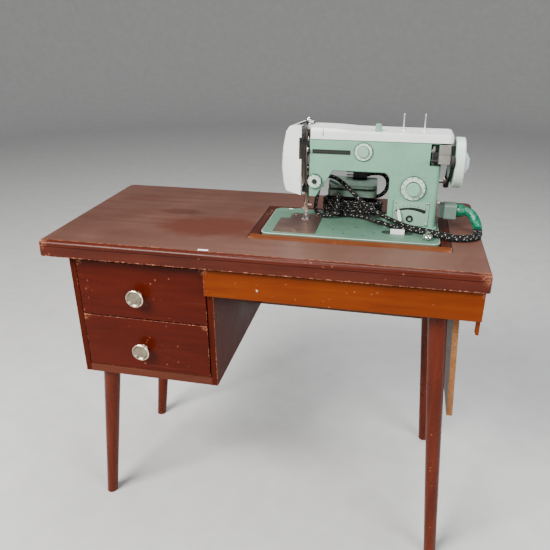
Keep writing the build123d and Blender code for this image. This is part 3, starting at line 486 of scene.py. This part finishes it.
def plastic(name, colour, rough=0.35, grain=0.15, dirt=0.25):
    """Moulded plastic with a fine grain, uneven sheen and handling dirt."""
    paint = Paint(name)
    cloud = paint.noise(45, 5, 0.6)
    grime = paint.band(paint.noise(85, 7, 0.7), 0.55, 0.8)
    tone = paint.two_tone(cloud, dimmed(colour, 0.9), tuple(min(1.0, c * 1.06) for c in colour))
    tone = paint.mix(paint.times(grime, dirt), tone, (0.10, 0.08, 0.06))
    fine = paint.noise(700, 3, 0.6)
    roughness = paint.add(paint.band(cloud, 0.3, 0.7, rough - 0.05, rough + 0.07), paint.times(grime, 0.2))
    return paint.finish(tone, roughness, normal=paint.bump(fine, grain, 0.0002))


# ---------------------------------------------------------------- cords
CORD_R = 4.5 * MM
CONTROLLER_ROUTE = [        # millimetres from the bed's left front corner, from the tape to the controller
    (442.9, 82, 7), (442.5, 70, 4.6), (438.5, 58.5, 3), (429, 49.5, 2.8), (414, 44, 2.8),
    (398, 43.5, 3.2), (381, 48, 4.9), (365, 56, 5), (349, 64.5, 5), (332, 72, 5),
    (314, 76, 6.5), (297, 74.7, 11.1), (279, 74.2, 17.6), (263, 77, 23), (247, 82, 28),
    (232, 89.5, 33.5), (216, 98.5, 41), (200, 110, 49.5), (184, 122, 60), (169, 134, 70.5),
    (154, 147, 78.5), (138, 162.5, 83.5), (120, 177.5, 83.5), (105, 186.5, 72), (98.5, 184, 54.5),
    (96.5, 172, 38), (95.5, 157, 25), (96.5, 142, 14.5), (102.5, 129, 9), (113.5, 121, 7.2),
    (126, 118.6, 6.9), (135, 118.5, 7), (144.3, 118.5, 12.4), (149.6, 118.5, 21.6), (149.6, 118.5, 36.4),
    (149.6, 123.9, 45.6), (149.6, 133.1, 51), (149.6, 143.5, 51),
]
MAINS_ROUTE = [             # from the tape to the start of the pile
    (452.1, 82, 7), (452.3, 68, 4.5), (449.5, 54, 3), (441, 42, 2.8), (427, 33, 2.8),
    (410, 27.5, 2.8), (392, 28.5, 3.4), (375, 34, 4.9), (357, 42.5, 5), (338, 51.5, 5),
    (319, 59, 5), (301, 66, 5), (284, 71.5, 5.4), (268, 76.5, 7.5), (252, 84, 9.4),
    (238, 96, 8.4), (226, 112, 6.2), (207, 131, 5),
]
# the pile's middle, half its straight run and the radius of its round ends, in millimetres
PILE_CENTRE, PILE_STRAIGHT, PILE_BEND = (180.0, 156.25), 44.0, 20.25
# turns, height of the first turn's middle and rise per turn
PILE_TURNS, PILE_LOW, PILE_PITCH = 3.5, 4.9, 9.54
MAINS_TAIL = [              # from the top of the pile to the plug
    (204, 177.1, 38.4), (226, 180.5, 38.5), (241, 187, 40), (252.5, 196.5, 50.5), (256, 203.5, 66),
    (250, 205.5, 81), (236, 201, 90), (214, 195.5, 88),
]


def pile_points(per_turn=24):
    """The laid-up turns: long rings with round ends, clockwise from above, each a little out of line."""
    run, bend = 2 * PILE_STRAIGHT, math.pi * PILE_BEND
    points = []
    for i in range(int(PILE_TURNS * per_turn) + 1):
        turn = i / per_turn
        gone = ((turn * 2 * (run + bend)) + run / 2) % (2 * (run + bend))
        if gone < run:
            x, y = PILE_STRAIGHT - gone, -PILE_BEND
        elif gone < run + bend:
            angle = (gone - run) / PILE_BEND
            x, y = -PILE_STRAIGHT - PILE_BEND * math.sin(angle), -PILE_BEND * math.cos(angle)
        elif gone < 2 * run + bend:
            x, y = gone - run - bend - PILE_STRAIGHT, PILE_BEND
        else:
            angle = (gone - 2 * run - bend) / PILE_BEND
            x, y = PILE_STRAIGHT + PILE_BEND * math.sin(angle), PILE_BEND * math.cos(angle)
        loose = 0.8 * math.sin(2.3 * turn + 0.6) * min(1.0, turn, PILE_TURNS - turn)
        y *= 1 + 0.04 * loose
        points.append((PILE_CENTRE[0] + x + loose, PILE_CENTRE[1] + y, PILE_LOW + PILE_PITCH * turn))
    return points


def spline_points(route, name):
    """Points along the smooth line of a route, read from its NURBS spline."""
    data = bpy.data.curves.new(name + "_line", "CURVE")
    data.dimensions = "3D"
    data.resolution_u = 10
    spline = data.splines.new("NURBS")
    spline.points.add(len(route) - 1)
    for spot, place in zip(spline.points, route):
        spot.co = (*on_head(*place), 1)
    spline.order_u = 3
    spline.use_endpoint_u = True
    carrier = bpy.data.objects.new(name + "_line", data)
    bpy.context.scene.collection.objects.link(carrier)
    bpy.context.view_layer.update()
    mesh = bpy.data.meshes.new_from_object(carrier)
    points = [v.co.copy() for v in mesh.vertices]
    bpy.data.objects.remove(carrier)
    bpy.data.meshes.remove(mesh)
    return points


def tube_along(name, points, radius, sides=14):
    """A closed round tube along points, with its length in u and its turn in v, and its length."""
    verts, faces, lengths = [], [], [0.0]
    for a, b in zip(points, points[1:]):
        lengths.append(lengths[-1] + (b - a).length)
    tangent = (points[1] - points[0]).normalized()
    side = tangent.orthogonal().normalized()
    for i, point in enumerate(points):
        ahead = points[min(i + 1, len(points) - 1)] - points[max(i - 1, 0)]
        ahead.normalize()
        side = (tangent.rotation_difference(ahead) @ side).normalized()
        tangent = ahead
        up = tangent.cross(side)
        for k in range(sides):
            angle = 2 * math.pi * k / sides
            verts.append(point + (side * math.cos(angle) + up * math.sin(angle)) * radius)
    for i in range(len(points) - 1):
        for k in range(sides):
            here, following = i * sides + k, i * sides + (k + 1) % sides
            faces.append((here, following, following + sides, here + sides))
    faces.append(tuple(range(sides - 1, -1, -1)))
    faces.append(tuple((len(points) - 1) * sides + k for k in range(sides)))
    item = mesh_object(name, verts, faces, smooth=True)
    layer = item.data.uv_layers.new(name="along")
    for polygon in item.data.polygons[:-2]:
        ring, k = divmod(polygon.index, sides)
        for loop, (di, dk) in zip(polygon.loop_indices, ((0, 0), (0, 1), (1, 1), (1, 0))):
            layer.data[loop].uv = (lengths[ring + di], (k + dk) / sides)
    return item, lengths[-1]


def braid():
    """Black cotton braid with white flecks in two slanting rows."""
    paint = Paint("braid")
    layer = paint.node("ShaderNodeUVMap", uv_map="along")
    u, v, _ = paint.split(layer.outputs["UV"])
    steps = paint.times(u, 1000.0)

    def helix(pitch, turns):
        return paint.math("FRACT", paint.add(paint.math("DIVIDE", steps, pitch), paint.times(v, turns)))

    left = helix(2.3, 5.0)
    right = helix(2.3, -5.0)
    weave = paint.add(paint.size_of(paint.minus(left, 0.5)),
                       paint.size_of(paint.minus(right, 0.5)))
    first = paint.times(paint.below(helix(14.0, 2.0), 0.10), paint.below(helix(14.0, -2.0), 0.30))
    second = paint.times(paint.below(helix(19.0, -1.0), 0.07), paint.below(helix(9.5, 3.0), 0.30))
    flecks = paint.most(first, second)
    black = paint.two_tone(paint.noise(400, 3), (0.003, 0.003, 0.003), (0.012, 0.011, 0.011))
    white = paint.two_tone(paint.noise(300, 3), (0.30, 0.29, 0.26), (0.56, 0.55, 0.50))
    tone = paint.mix(flecks, black, white)
    paint.shader.inputs["Sheen Weight"].default_value = 0.04
    return paint.finish(tone, 0.78, normal=paint.bump(weave, 0.7, 0.0006), specular=0.12)


def add_cords():
    cloth = braid()
    whole_mains = MAINS_ROUTE + pile_points() + MAINS_TAIL
    for name, route, nodes_for, far_end, others in (
        ("controller_lead", CONTROLLER_ROUTE, ["controller_cord"], "object", ["cord_wrap", "machine_plug"]),
        ("mains_lead", whole_mains, ["mains_cord", "cord_coil"], "plug", ["mains_plug"]),
    ):
        points = spline_points(route, name)
        lead, length = tube_along(name, points, CORD_R)
        dress(cloth, lead)
        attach(lead, "head")
        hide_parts(*nodes_for)
        print("CORD", name, round(length, 4))


# ---------------------------------------------------------------- materials on the CAD nodes
DRAWER_RED = (0.044, 0.0030, 0.0006), (0.080, 0.0075, 0.0014)
BOARDS = (      # paint, dark and light stain, grain axis, chip width, roughness, specular level, nodes
    ("lipping_wood", (0.042, 0.0050, 0.0016), (0.088, 0.0130, 0.0040), X, 0.005, 0.34, 0.22,
     ("front_lipping",)),
    ("side_wood", (0.040, 0.0050, 0.0018), (0.078, 0.0110, 0.0042), Z, 0.003, 0.34, 0.04,
     ("pedestal_sides",)),
    ("upper_front_wood", *DRAWER_RED, X, 0.0035, 0.27, 0.10, ("upper_drawer_front",)),
    ("lower_front_wood", *DRAWER_RED, X, 0.0035, 0.27, 0.10, ("lower_drawer_front",)),
    ("leg_wood", (0.062, 0.0070, 0.0018), (0.125, 0.0180, 0.0045), Z, 0.0, 0.27, 0.16, ("legs",)),
    ("cutout_wood", (0.024, 0.0050, 0.0028), (0.062, 0.0170, 0.0110), Y, 0.0, 0.34, 0.10, ("opening_frame",)),
    ("strip_wood", (0.085, 0.0180, 0.0040), (0.165, 0.0440, 0.0110), X, 0.004, 0.34, 0.10,
     ("opening_front_strip",)),
    ("apron_wood", (0.120, 0.0160, 0.0008), (0.185, 0.0330, 0.0018), X, 0.0025, 0.34, 0.10,
     ("front_apron", "apron_screws")),
)
RAW_BOARDS = (  # paint, dark and light tone, grain axis, nodes
    ("rail_wood", (0.055, 0.0090, 0.0030), (0.120, 0.0250, 0.0080), X, ("inner_frame",)),
    ("back_hardboard", (0.090, 0.0380, 0.0170), (0.170, 0.0780, 0.0360), Z, ("back_board",)),
    ("drawer_ply", (0.20, 0.10, 0.045), (0.34, 0.19, 0.09), X, ("upper_drawer_box", "lower_drawer_box")),
)
METALS = (      # paint, colour, roughness, axis of brushing, tarnish, nodes
    ("screw_steel", (0.34, 0.31, 0.28), 0.42, None, 0.4, ("leg_plates",)),
    ("chrome", (0.84, 0.83, 0.80), 0.10, None, 0.4,
     ("face_cover_screw", "pressure_knob", "presser_foot", "needle", "presser_lifter", "take_up_lever",
      "thread_guide")),
    ("pin_metal", (0.95, 0.93, 0.90), 0.30, None, 0.1, ("spool_pins",)),
    # the plates' brownish tone is a painted reflection of the brown wood round them
    ("plate_steel_brown_reflection", (0.52, 0.33, 0.27), 0.30, X, 0.06, ("slide_plate", "needle_plate")),
    ("ground_steel", (0.42, 0.34, 0.30), 0.28, Z, 0.6,
     ("needle_bar", "presser_bar", "feed_dog", "hinge_brackets", "motor_pulley", "shuttle_hook")),
    ("winder_steel", (0.62, 0.60, 0.54), 0.34, Z, 0.5, ("bobbin_winder",)),
)
PLASTICS = (    # paint, colour, roughness, grain, dirt, nodes
    ("white_plastic", (0.84, 0.86, 0.82), 0.28, 0.15, 0.12, ("stitch_lever", "feed_button")),
    # pale bluish colour on the chrome clutch knob: a painted reflection
    ("clutch_white_reflection", (0.74, 0.76, 0.86), 0.20, 0.15, 0.08, ("clutch_knob",)),
    ("knob_green", (0.20, 0.36, 0.28), 0.34, 0.15, 0.12, ("selector_knob",)),
    ("pedal_green", (0.150, 0.215, 0.175), 0.42, 0.30, 0.35, ("controller_base", "controller_treadle")),
    ("plug_green", (0.135, 0.195, 0.165), 0.38, 0.20, 0.25, ("machine_plug",)),
    ("black_plastic", (0.010, 0.010, 0.011), 0.30, 0.15, 0.25, ("motor", "mains_plug")),
    ("rubber", (0.015, 0.014, 0.013), 0.70, 0.40, 0.25, ("drive_belt", "bobbin_winder_wheel")),
)
INK, RED_INK = (0.03, 0.04, 0.035), (0.30, 0.012, 0.006)
DIALS = (       # node, radius of the ring and of the hub in mm, ticks, hub colour, tick colour
    ("width_dial", 19.3, 11.5, 9, (0.30, 0.50, 0.38), RED_INK),
    ("pattern_dial", 26.0, 14.5, 12, (0.26, 0.50, 0.36), INK),
    ("tension_dial", 15.5, 5.0, 10, (0.02, 0.02, 0.02), INK),
)
# the handwheel's bands in mm from its middle; the pale outer band from 47 mm is a painted highlight on the
# rim
WHEEL_MIDDLE, WHEEL_BANDS = on_head(390, 124, 138), (
    (0, (0.70, 0.74, 0.74)), (22, (0.20, 0.37, 0.27)), (40.5, (0.03, 0.05, 0.04)),
    (42, (0.24, 0.42, 0.32)), (47, (0.62, 0.74, 0.64)))
BUTTON_MIDDLE, BUTTON_BANDS = on_head(307, 86, 22), ((0, (0.20, 0.30, 0.25)), (3.4, (0.008, 0.010, 0.009)))
ARM_END = on_head(89.2, 0, 0).x                             # bare casting to the left of this, painted near-black as painted shade
STITCH_PIVOT, STITCH_RADIUS = (308.0, 87.0, -32.0), 76.0    # the stitch lever's pivot, and its slot's arc
FEED_SLOT = (262, 53), (306, 53)                            # the ends of the feed button's recess
SLOT_HALF = 2.5                                             # half the width of the stitch lever's slot
BED_LONG, BED_DEEP, BED_CORNER = 370, 178, 16               # the bed and the radius of its corners
ARM_FACE, PLATE_FACE = 86.9, 86.05                          # how far forward the front marks stand, in y


def dress_table():
    dress(table_top_wood(), "table_top")
    for name, dark, light, along, chips, rough, shine, boards in BOARDS:
        dress(stained_wood(name, dark, light, boards[0], along, chips, rough, shine), *boards)
    dress(chipboard(), "right_end_panel")
    for name, dark, light, along, boards in RAW_BOARDS:
        dress(rough_wood(name, dark, light, along), *boards)
    for which in ("upper", "lower"):
        dress(knob_metal(which + "_knob_metal", middle_of(which + "_drawer_knob")), which + "_drawer_knob")


def dress_machine():
    arm_chips = ("arm_body", 0.0012, (0.05, 0.07, 0.06))
    # pale green along the bed's edges: chipped enamel and a painted highlight
    bed_wear_and_highlight = ("bed", 0.0030, (0.55, 0.66, 0.55))
    plate_chips = ("stitch_plate", 0.0012, (0.03, 0.05, 0.04))
    dress(enamel("arm_green", (0.185, 0.385, 0.270), chips=arm_chips, bare_shaded_below=ARM_END), "arm_body")
    dress(enamel("bed_green", (0.088, 0.172, 0.120), 0.34, chips=bed_wear_and_highlight, over=painted_recess_shade), "bed")
    plate_green = enamel("plate_green", (0.245, 0.410, 0.300), 0.32, 0.45, plate_chips, over=slot_shadow_arc)
    dress(plate_green, "stitch_plate")
    dress(banded("wheel_green", X, WHEEL_MIDDLE, WHEEL_BANDS), "handwheel")
    dress(banded("button_black", Y, BUTTON_MIDDLE, BUTTON_BANDS), "reverse_button")
    dress(shell_white("cover_white"), "top_cover")
    dress(shell_white("face_white", inside=True), "face_cover")
    dress(tape(), "cord_wrap")
    for name, colour, rough, brushed, tarnish, parts in METALS:
        dress(metal(name, colour, rough, brushed, tarnish), *parts)
    for name, colour, rough, grain, dirt, parts in PLASTICS:
        dress(plastic(name, colour, rough, grain, dirt), *parts)
    for node, ring, hub, ticks, hub_colour, mark in DIALS:
        dress(dial_face(node + "_paint", middle_of(node), ring, hub, ticks, hub_colour, mark), node)


def slot_shadow_arc(paint, tone):
    """Painted shadow: a black arc on the stitch plate, round the stitch lever's pivot, for the shade inside
    the shallow slot.
    """
    pivot = on_head(*STITCH_PIVOT)
    radius = radius_from(paint, Y, pivot)
    x, _, z = paint.split()
    lean = paint.math("ARCTAN2", paint.minus(x, pivot.x), paint.minus(z, pivot.z))
    half = paint.band(lean, -0.42, 0.36, 1.6, 3.7)
    inside = paint.below(paint.size_of(paint.minus(radius, STITCH_RADIUS)), half)
    inside = paint.times(inside, paint.below(paint.size_of(lean), 0.42))
    return paint.mix(inside, tone, (0.008, 0.009, 0.008))


def painted_recess_shade(paint, tone):
    """Painted shade: a darker oval on the bed, in and about the feed button's recess."""
    left, right = (on_head(x, y, 0) for x, y in FEED_SLOT)
    x, y, _ = paint.split()
    along = paint.most(0.0, paint.most(paint.minus(left.x, x), paint.minus(x, right.x)))
    across = paint.size_of(paint.minus(y, left.y))
    away = paint.math("SQRT", paint.add(paint.math("POWER", along, 2.0), paint.math("POWER", across, 2.0)))
    return paint.mix(paint.band(away, 0.0100, 0.0112, 0.85, 0.0), tone, (0.022, 0.036, 0.027))


# ---------------------------------------------------------------- materials with a centre
def radius_from(paint, axis, centre):
    """Distance in millimetres from an axis through a point."""
    spots = paint.split()
    square = [paint.math("POWER", paint.times(paint.minus(spots[i], centre[i]), 1000.0), 2.0)
              for i in range(3) if i != axis]
    return paint.math("SQRT", paint.add(*square))


def banded(name, axis, centre, bands):
    """Paint in rings about an axis: each band starts at a radius in millimetres."""
    paint = Paint(name)
    radius = radius_from(paint, axis, centre)
    cloud = paint.noise(40, 6, 0.65)
    tone = bands[0][1]
    for start, colour in bands[1:]:
        tone = paint.mix(paint.band(radius, start - 0.25, start + 0.25), tone, colour)
    tone = paint.mix(paint.band(cloud, 0.3, 0.7, 0.0, 0.16), tone, (0.05, 0.07, 0.06))
    rough = paint.band(cloud, 0.3, 0.7, 0.26, 0.40)
    peel = paint.bump(paint.noise(900, 2), 0.1, 0.0002)
    return paint.finish(tone, rough, normal=peel, coat=0.15, specular=0.35)


def knob_metal(name, centre):
    """Spun aluminium pull: darker dish, a pale rim as a painted highlight, and fine turning rings."""
    paint = Paint(name)
    radius = radius_from(paint, Y, centre)
    rings = paint.math("SINE", paint.times(radius, 5.0))
    wobble = paint.noise(90, 5, 0.6)
    tone = paint.two_tone(wobble, (0.22, 0.19, 0.14), (0.36, 0.31, 0.23))
    # painted highlight: a thin pale ring on the rim
    tone = paint.mix(paint.band(radius, 17.2, 17.8), tone, (0.90, 0.72, 0.58))
    rough = paint.band(wobble, 0.3, 0.7, 0.30, 0.42)
    return paint.finish(tone, rough, 1.0, normal=paint.bump(rings, 0.2, 0.0001))


def dial_face(name, centre, ring_r, hub_r, ticks, hub, mark):
    """White dial with engraved marks round a coloured hub, each outlined by a dark line."""
    paint = Paint(name)
    radius = radius_from(paint, Y, centre)
    x, _, z = paint.split()
    angle = paint.math("ARCTAN2", paint.minus(z, centre.z), paint.minus(x, centre.x))
    share = paint.math("FRACT", paint.add(paint.times(angle, ticks / (2 * math.pi)), 0.25))
    off = paint.times(paint.size_of(paint.minus(share, 0.5)), paint.times(radius, 2 * math.pi / ticks))
    middle = (ring_r + hub_r) / 2
    reach = paint.times(paint.above(radius, middle + 0.8), paint.below(radius, ring_r - 1.6))
    marks = paint.times(paint.below(off, 0.8), reach)
    cloud = paint.noise(60, 6, 0.65)
    outline = (0.03, 0.05, 0.04)
    tone = paint.two_tone(cloud, (0.46, 0.62, 0.52), (0.62, 0.76, 0.66))
    tone = paint.mix(marks, tone, mark)
    tone = paint.mix(paint.above(radius, ring_r - 1.3), tone, outline)
    tone = paint.mix(paint.below(radius, hub_r + 0.7), tone, outline)
    tone = paint.mix(paint.below(radius, hub_r - 0.2), tone, paint.two_tone(cloud, dimmed(hub, 0.85), hub))
    rough = paint.band(cloud, 0.3, 0.7, 0.24, 0.38)
    peel = paint.bump(paint.noise(700, 2), 0.1, 0.0002)
    return paint.finish(tone, rough, normal=peel, coat=0.15, specular=0.4)


def shell_white(name, inside=False):
    """Ivory-white sprayed cover; the inside of the hinged one is bare casting, painted near-black as painted
    shade.
    """
    paint = Paint(name)
    cloud = paint.noise(10, 5, 0.55, warp=0.4)
    dirt = paint.band(paint.noise(46, 7, 0.68), 0.56, 0.84)
    tone = paint.two_tone(cloud, (0.80, 0.84, 0.80), (0.90, 0.93, 0.89))
    tone = paint.mix(paint.times(dirt, 0.22), tone, (0.42, 0.43, 0.36))
    specks = paint.below(paint.cells(150), 0.045)
    tone = paint.mix(paint.times(specks, 0.5), tone, (0.22, 0.22, 0.19))
    rough = paint.add(paint.band(cloud, 0.3, 0.7, 0.20, 0.30), paint.times(dirt, 0.2))
    if inside:
        # painted shade: the inside faces of the open face cover made near-black
        inner = paint.above(paint.split(paint.coords.outputs["Normal"])[0], 0.3)
        tone = paint.mix(inner, tone, (0.010, 0.010, 0.010))
        rough = paint.most(rough, paint.times(inner, 0.7))
    peel = paint.bump(paint.noise(800, 2), 0.08, 0.0002)
    return paint.finish(tone, rough, normal=peel, coat=0.2, specular=0.4)


def tape():
    """Shiny green tape wound in overlapping, wrinkled turns, with painted shade in the crease hollows."""
    paint = Paint("tape")
    creases = paint.noise(130, 5, 0.6, paint.place((1.0, 0.45, 1.0), turn=(0.3, 0.5, 0.2)), warp=1.4)
    laps = paint.node("ShaderNodeTexWave", wave_type="BANDS", bands_direction="DIAGONAL")
    laps.inputs["Scale"].default_value = 26
    laps.inputs["Distortion"].default_value = 3.0
    laps.inputs["Detail"].default_value = 3
    paint.feed(laps.inputs["Vector"], paint.coords.outputs["Object"])
    # painted shade: the tone follows the creases, darker in their hollows
    tone = paint.ramp(creases, [
        (0.32, (0.0, 0.060, 0.028)), (0.5, (0.001, 0.135, 0.070)), (0.72, (0.004, 0.230, 0.130))])
    height = paint.add(creases, paint.times(laps.outputs["Fac"], 0.7))
    rough = paint.band(creases, 0.3, 0.7, 0.22, 0.36)
    return paint.finish(tone, rough, normal=paint.bump(height, 0.9, 0.0016), coat=0.3, specular=0.4)


# ---------------------------------------------------------------- small pieces
class Shape:
    """A small mesh built of blocks and turned forms, in millimetres from the bed's or the table's corner."""

    def __init__(self, at=on_head):
        self.mesh = bmesh.new()
        self.at = at

    def shift(self, made, matrix):
        bmesh.ops.transform(self.mesh, matrix=matrix, verts=made)

    def block(self, low, high, bevel=0.0, turn=0.0, axis="Y"):
        low, high = Vector(low), Vector(high)
        made = bmesh.ops.create_cube(self.mesh, size=1.0)["verts"]
        size, middle = high - low, (high + low) / 2
        self.shift(made, Matrix.Translation(middle) @ Matrix.Diagonal((*size, 1)))
        if bevel:
            self.mesh.edges.index_update()
            edges = sorted({edge for v in made for edge in v.link_edges}, key=lambda edge: edge.index)
            made = bmesh.ops.bevel(self.mesh, geom=edges, offset=bevel, segments=2, affect="EDGES")["verts"]
        if turn:
            pivot = Matrix.Translation(middle)
            self.shift(made, pivot @ Matrix.Rotation(turn, 4, axis) @ pivot.inverted())
        return self

    def turned(self, axis, profile, a, b, sides=28):
        """Revolve (place along the axis, radius) pairs about an axis through the other two coordinates."""
        rings = []
        for along, radius in profile:
            ring = []
            for k in range(sides):
                angle = 2 * math.pi * k / sides
                c, d = radius * math.cos(angle), radius * math.sin(angle)
                spots = {"x": (along, a + c, b + d), "y": (a + d, along, b + c), "z": (a + c, b + d, along)}
                ring.append(self.mesh.verts.new(spots[axis]))
            rings.append(ring)
        for first, second in zip(rings, rings[1:]):
            for k in range(sides):
                following = (k + 1) % sides
                self.mesh.faces.new((first[k], first[following], second[following], second[k]))
        self.mesh.faces.new(rings[0][::-1])
        self.mesh.faces.new(rings[-1])
        return self

    def prism(self, outline, low, high):
        """A flat sheet with an outline in x and z, from low to high in y."""
        front = [self.mesh.verts.new((x, low, z)) for x, z in outline]
        back = [self.mesh.verts.new((x, high, z)) for x, z in outline]
        count = len(outline)
        self.mesh.faces.new(front)
        self.mesh.faces.new(back[::-1])
        for k in range(count):
            following = (k + 1) % count
            self.mesh.faces.new((front[following], front[k], back[k], back[following]))
        return self

    def sheet(self, outline, z):
        """A flat sheet facing up."""
        self.mesh.faces.new([self.mesh.verts.new((x, y, z)) for x, y in outline])
        return self

    def done(self, name, material, body, slot):
        for v in self.mesh.verts:
            v.co = self.at(*v.co)
        if len(self.mesh.faces) > 1:
            bmesh.ops.recalc_face_normals(self.mesh, faces=self.mesh.faces)
        data = bpy.data.meshes.new(name)
        self.mesh.to_mesh(data)
        self.mesh.free()
        piece = bpy.data.objects.new(name, data)
        bpy.context.scene.collection.objects.link(piece)
        piece.data.materials.append(material)
        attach(piece, body)


def arc(x, y, radius, start, step, count):
    """Points round a centre, by degrees from the x axis."""
    angles = [math.radians(start + step * k) for k in range(count)]
    return [(x + radius * math.cos(a), y + radius * math.sin(a)) for a in angles]


def slot_arc(radius, start, step, count):
    """Points in x and z round the stitch lever's pivot, by degrees from upright."""
    x, _, z = STITCH_PIVOT
    angles = [math.radians(start + step * k) for k in range(count)]
    return [(x + radius * math.sin(a), z + radius * math.cos(a)) for a in angles]


def add_machine_details():
    steel = metal("small_steel", (0.62, 0.60, 0.56), 0.24, tarnish=0.5)
    dark = plastic("dark_mark", (0.012, 0.014, 0.013), 0.45, dirt=0.1)
    bronze = metal("plate_bronze", (0.16, 0.17, 0.13), 0.30, tarnish=0.6, tarnish_tone=(0.02, 0.02, 0.02))
    pale = enamel("rim_wear_and_highlight", (0.56, 0.66, 0.56), grime=0.3)
    shade = plastic("recess_shade", (0.030, 0.045, 0.034), 0.5, dirt=0.4)

    # nameplate strip with a plain raised border and a row of studs
    Shape().block((95, 87.2, 152.4), (175, 88.1, 161.6), 0.3).done("nameplate", dark, "head", "dark_steel")
    border = Shape()
    for x1, x2, z1, z2 in ((95.4, 174.6, 160.6, 161.2), (95.4, 174.6, 152.8, 153.4),
                           (95.4, 96.0, 153.4, 160.6), (174.0, 174.6, 153.4, 160.6)):
        border.block((x1, ARM_FACE, z1), (x2, 87.3, z2))
    for k in range(14):
        x = 100 + 5.4 * k
        lean = 0.5 * (-1) ** k
        border.block((x - 1.5, ARM_FACE, 156.2), (x + 1.5, 87.3, 157.8), 0.15, turn=lean, axis="Y")
    border.done("nameplate_border", bronze, "head", "dark_steel")

    # stitch plate: arc slot in shadow, scale marks, screws, dark outline
    ring = slot_arc(STITCH_RADIUS + SLOT_HALF, -24, 2, 25) + slot_arc(STITCH_RADIUS - SLOT_HALF, 24, -2, 25)
    Shape().prism(ring, 87.25, 87.45).done("stitch_slot_shade", dark, "head", "black_plastic")
    marks = Shape()
    for k, (x, z) in enumerate(slot_arc(82.5, -22, 5.5, 9)):
        tall = 1.8 if k % 2 == 0 else 1.1
        turn = math.radians(-22 + 5.5 * k)
        marks.block((x - 0.6, PLATE_FACE, z - tall), (x + 0.6, 86.3, z + tall), turn=turn, axis="Y")
    marks.block((271.4, 86.4, 6.4), (345.6, 88.05, 7.0))
    marks.block((271.4, 86.4, 6.4), (272.0, 88.05, 60.6))
    marks.done("stitch_scale", dark, "head", "black_plastic")
    screws = Shape()
    for x, z in ((277, 56.5), (341, 56.5), (341, 11)):
        screws.turned("y", [(86.3, 1.9), (85.6, 1.9), (85.3, 1.5), (85.3, 0.2)], x, z, 16)
    screws.done("stitch_plate_screws", steel, "head", "steel")

    # bed: worn rim with a painted highlight along the top edge, floor of the oval recess in painted shade,
    # oil caps, a stuck label
    rim = []
    far_x, far_y = BED_LONG - BED_CORNER, BED_DEEP - BED_CORNER
    for x, y, start in ((far_x, BED_CORNER, -90), (far_x, far_y, 0), (BED_CORNER, far_y, 90),
                        (BED_CORNER, BED_CORNER, 180)):
        rim += [on_head(px, py, -0.95) for px, py in arc(x, y, BED_CORNER - 0.5, start, 15, 7)]
    rim.append(rim[0])
    # painted highlight: a pale bead along the bed's top edge, partly worn enamel
    bead, _ = tube_along("bed_rim_highlight", rim, 0.7 * MM, 8)
    dress(pale, bead)
    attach(bead, "head")
    (left, y), (right, _) = FEED_SLOT
    oval = arc(right, y, 8.8, -90, 15, 13) + arc(left, y, 8.8, 90, 15, 13)
    # painted shade: a dark sheet on the floor of the feed button's recess
    Shape().sheet(oval, -1.9).done("feed_recess_shade", shade, "head", "green_paint")
    holes = Shape()
    for x, y in ((197, 70), (173, 28), (215, 20), (120, 26), (150, 48), (236, 44)):
        holes.turned("z", [(-0.2, 2.2), (0.15, 2.2), (0.15, 0.4)], x, y, 14)
    holes.done("bed_oil_caps", dark, "head", "dark_steel")
    Shape().block((29.5, 171.2, -0.05), (38.5, 175.8, 0.22), 0.06, turn=0.15, axis="Z").done(
        "bed_label", plastic("paper", (0.80, 0.80, 0.76), 0.7, dirt=0.15), "head", "white_plastic")

    # behind the open face cover: plate on the arm's end in near-black painted shade, guide screw and clips
    black = plastic("head_shade_black", (0.010, 0.010, 0.010), 0.5, dirt=0.1)
    Shape().block((86.2, 92, 172), (89.3, 156, 196), 0.4).block((86.2, 92, 60), (89.3, 101, 150), 0.4).done(
        "head_end_plate", black, "head", "black_plastic")
    bits = Shape()
    bits.turned("x", [(86.4, 5.2), (84.8, 5.2), (84.2, 4.4), (84.2, 0.6)], 97, 181, 24)
    bits.block((84.6, 94, 128), (86.4, 98, 146), 0.4).block((84.8, 93.2, 104), (86.4, 96.4, 112), 0.4)
    bits.turned("x", [(86.4, 2.6), (84.6, 2.6), (84.6, 0.4)], 96.5, 120, 16)
    bits.done("head_end_screws", steel, "head", "steel")

    # bright guide strip at the right of the pillar
    Shape().block((361.6, 92, 14), (365.4, 93.2, 66), 0.4, turn=-0.09, axis="Y").turned(
        "y", [(92.1, 2.2), (91.3, 2.2), (91.0, 1.6), (91.0, 0.3)], 364, 58, 16).done(
        "side_guide_strip", metal("strip_chrome", (0.86, 0.85, 0.82), 0.16, tarnish=0.3), "head", "chrome")

    # dark socket in the arm beside the winder
    Shape().block((341.5, 87.0, 141.5), (353, 88.1, 165), 0.5).done(
        "winder_socket", dark, "head", "black_plastic")

    # screw in the foot controller's end
    Shape().turned("y", [(150.3, 2.6), (149.5, 2.6), (149.2, 2.1), (149.2, 0.3)], 212, 64, 18).done(
        "pedal_screw", steel, "head", "screw_steel")


def add_table_details():
    paper = plastic("table_paper", (0.85, 0.84, 0.82), 0.7, dirt=0.1)
    Shape(on_table).block((342, 17.2, -0.05), (363, 23.4, 0.25), 0.05, turn=0.03, axis="Z").done(
        "table_label", paper, "cabinet", "white_plastic")
    # painted shade: black strips in the gaps beside the machine opening
    black = plastic("gap_shade_black", (0.006, 0.005, 0.005), 0.8, dirt=0.1)
    gaps = Shape(on_table)
    gaps.block((831.3, 105, -1.49), (832.9, 329, -0.9)).block((418.1, 105, -1.49), (419.2, 329, -0.9))
    gaps.done("opening_gap_shade", black, "cabinet", "wood_dark")
    steel = metal("table_screw", (0.66, 0.62, 0.56), 0.3, tarnish=0.5)
    Shape(on_table).turned("y", [(12.2, 2.4), (11.6, 2.4), (11.3, 1.9), (11.3, 0.3)], 463, -75, 16).done(
        "apron_heads", steel, "cabinet", "screw_steel")


set_camera()
add_stage()
set_lights()
add_cords()
dress_table()
dress_machine()
add_machine_details()
add_table_details()
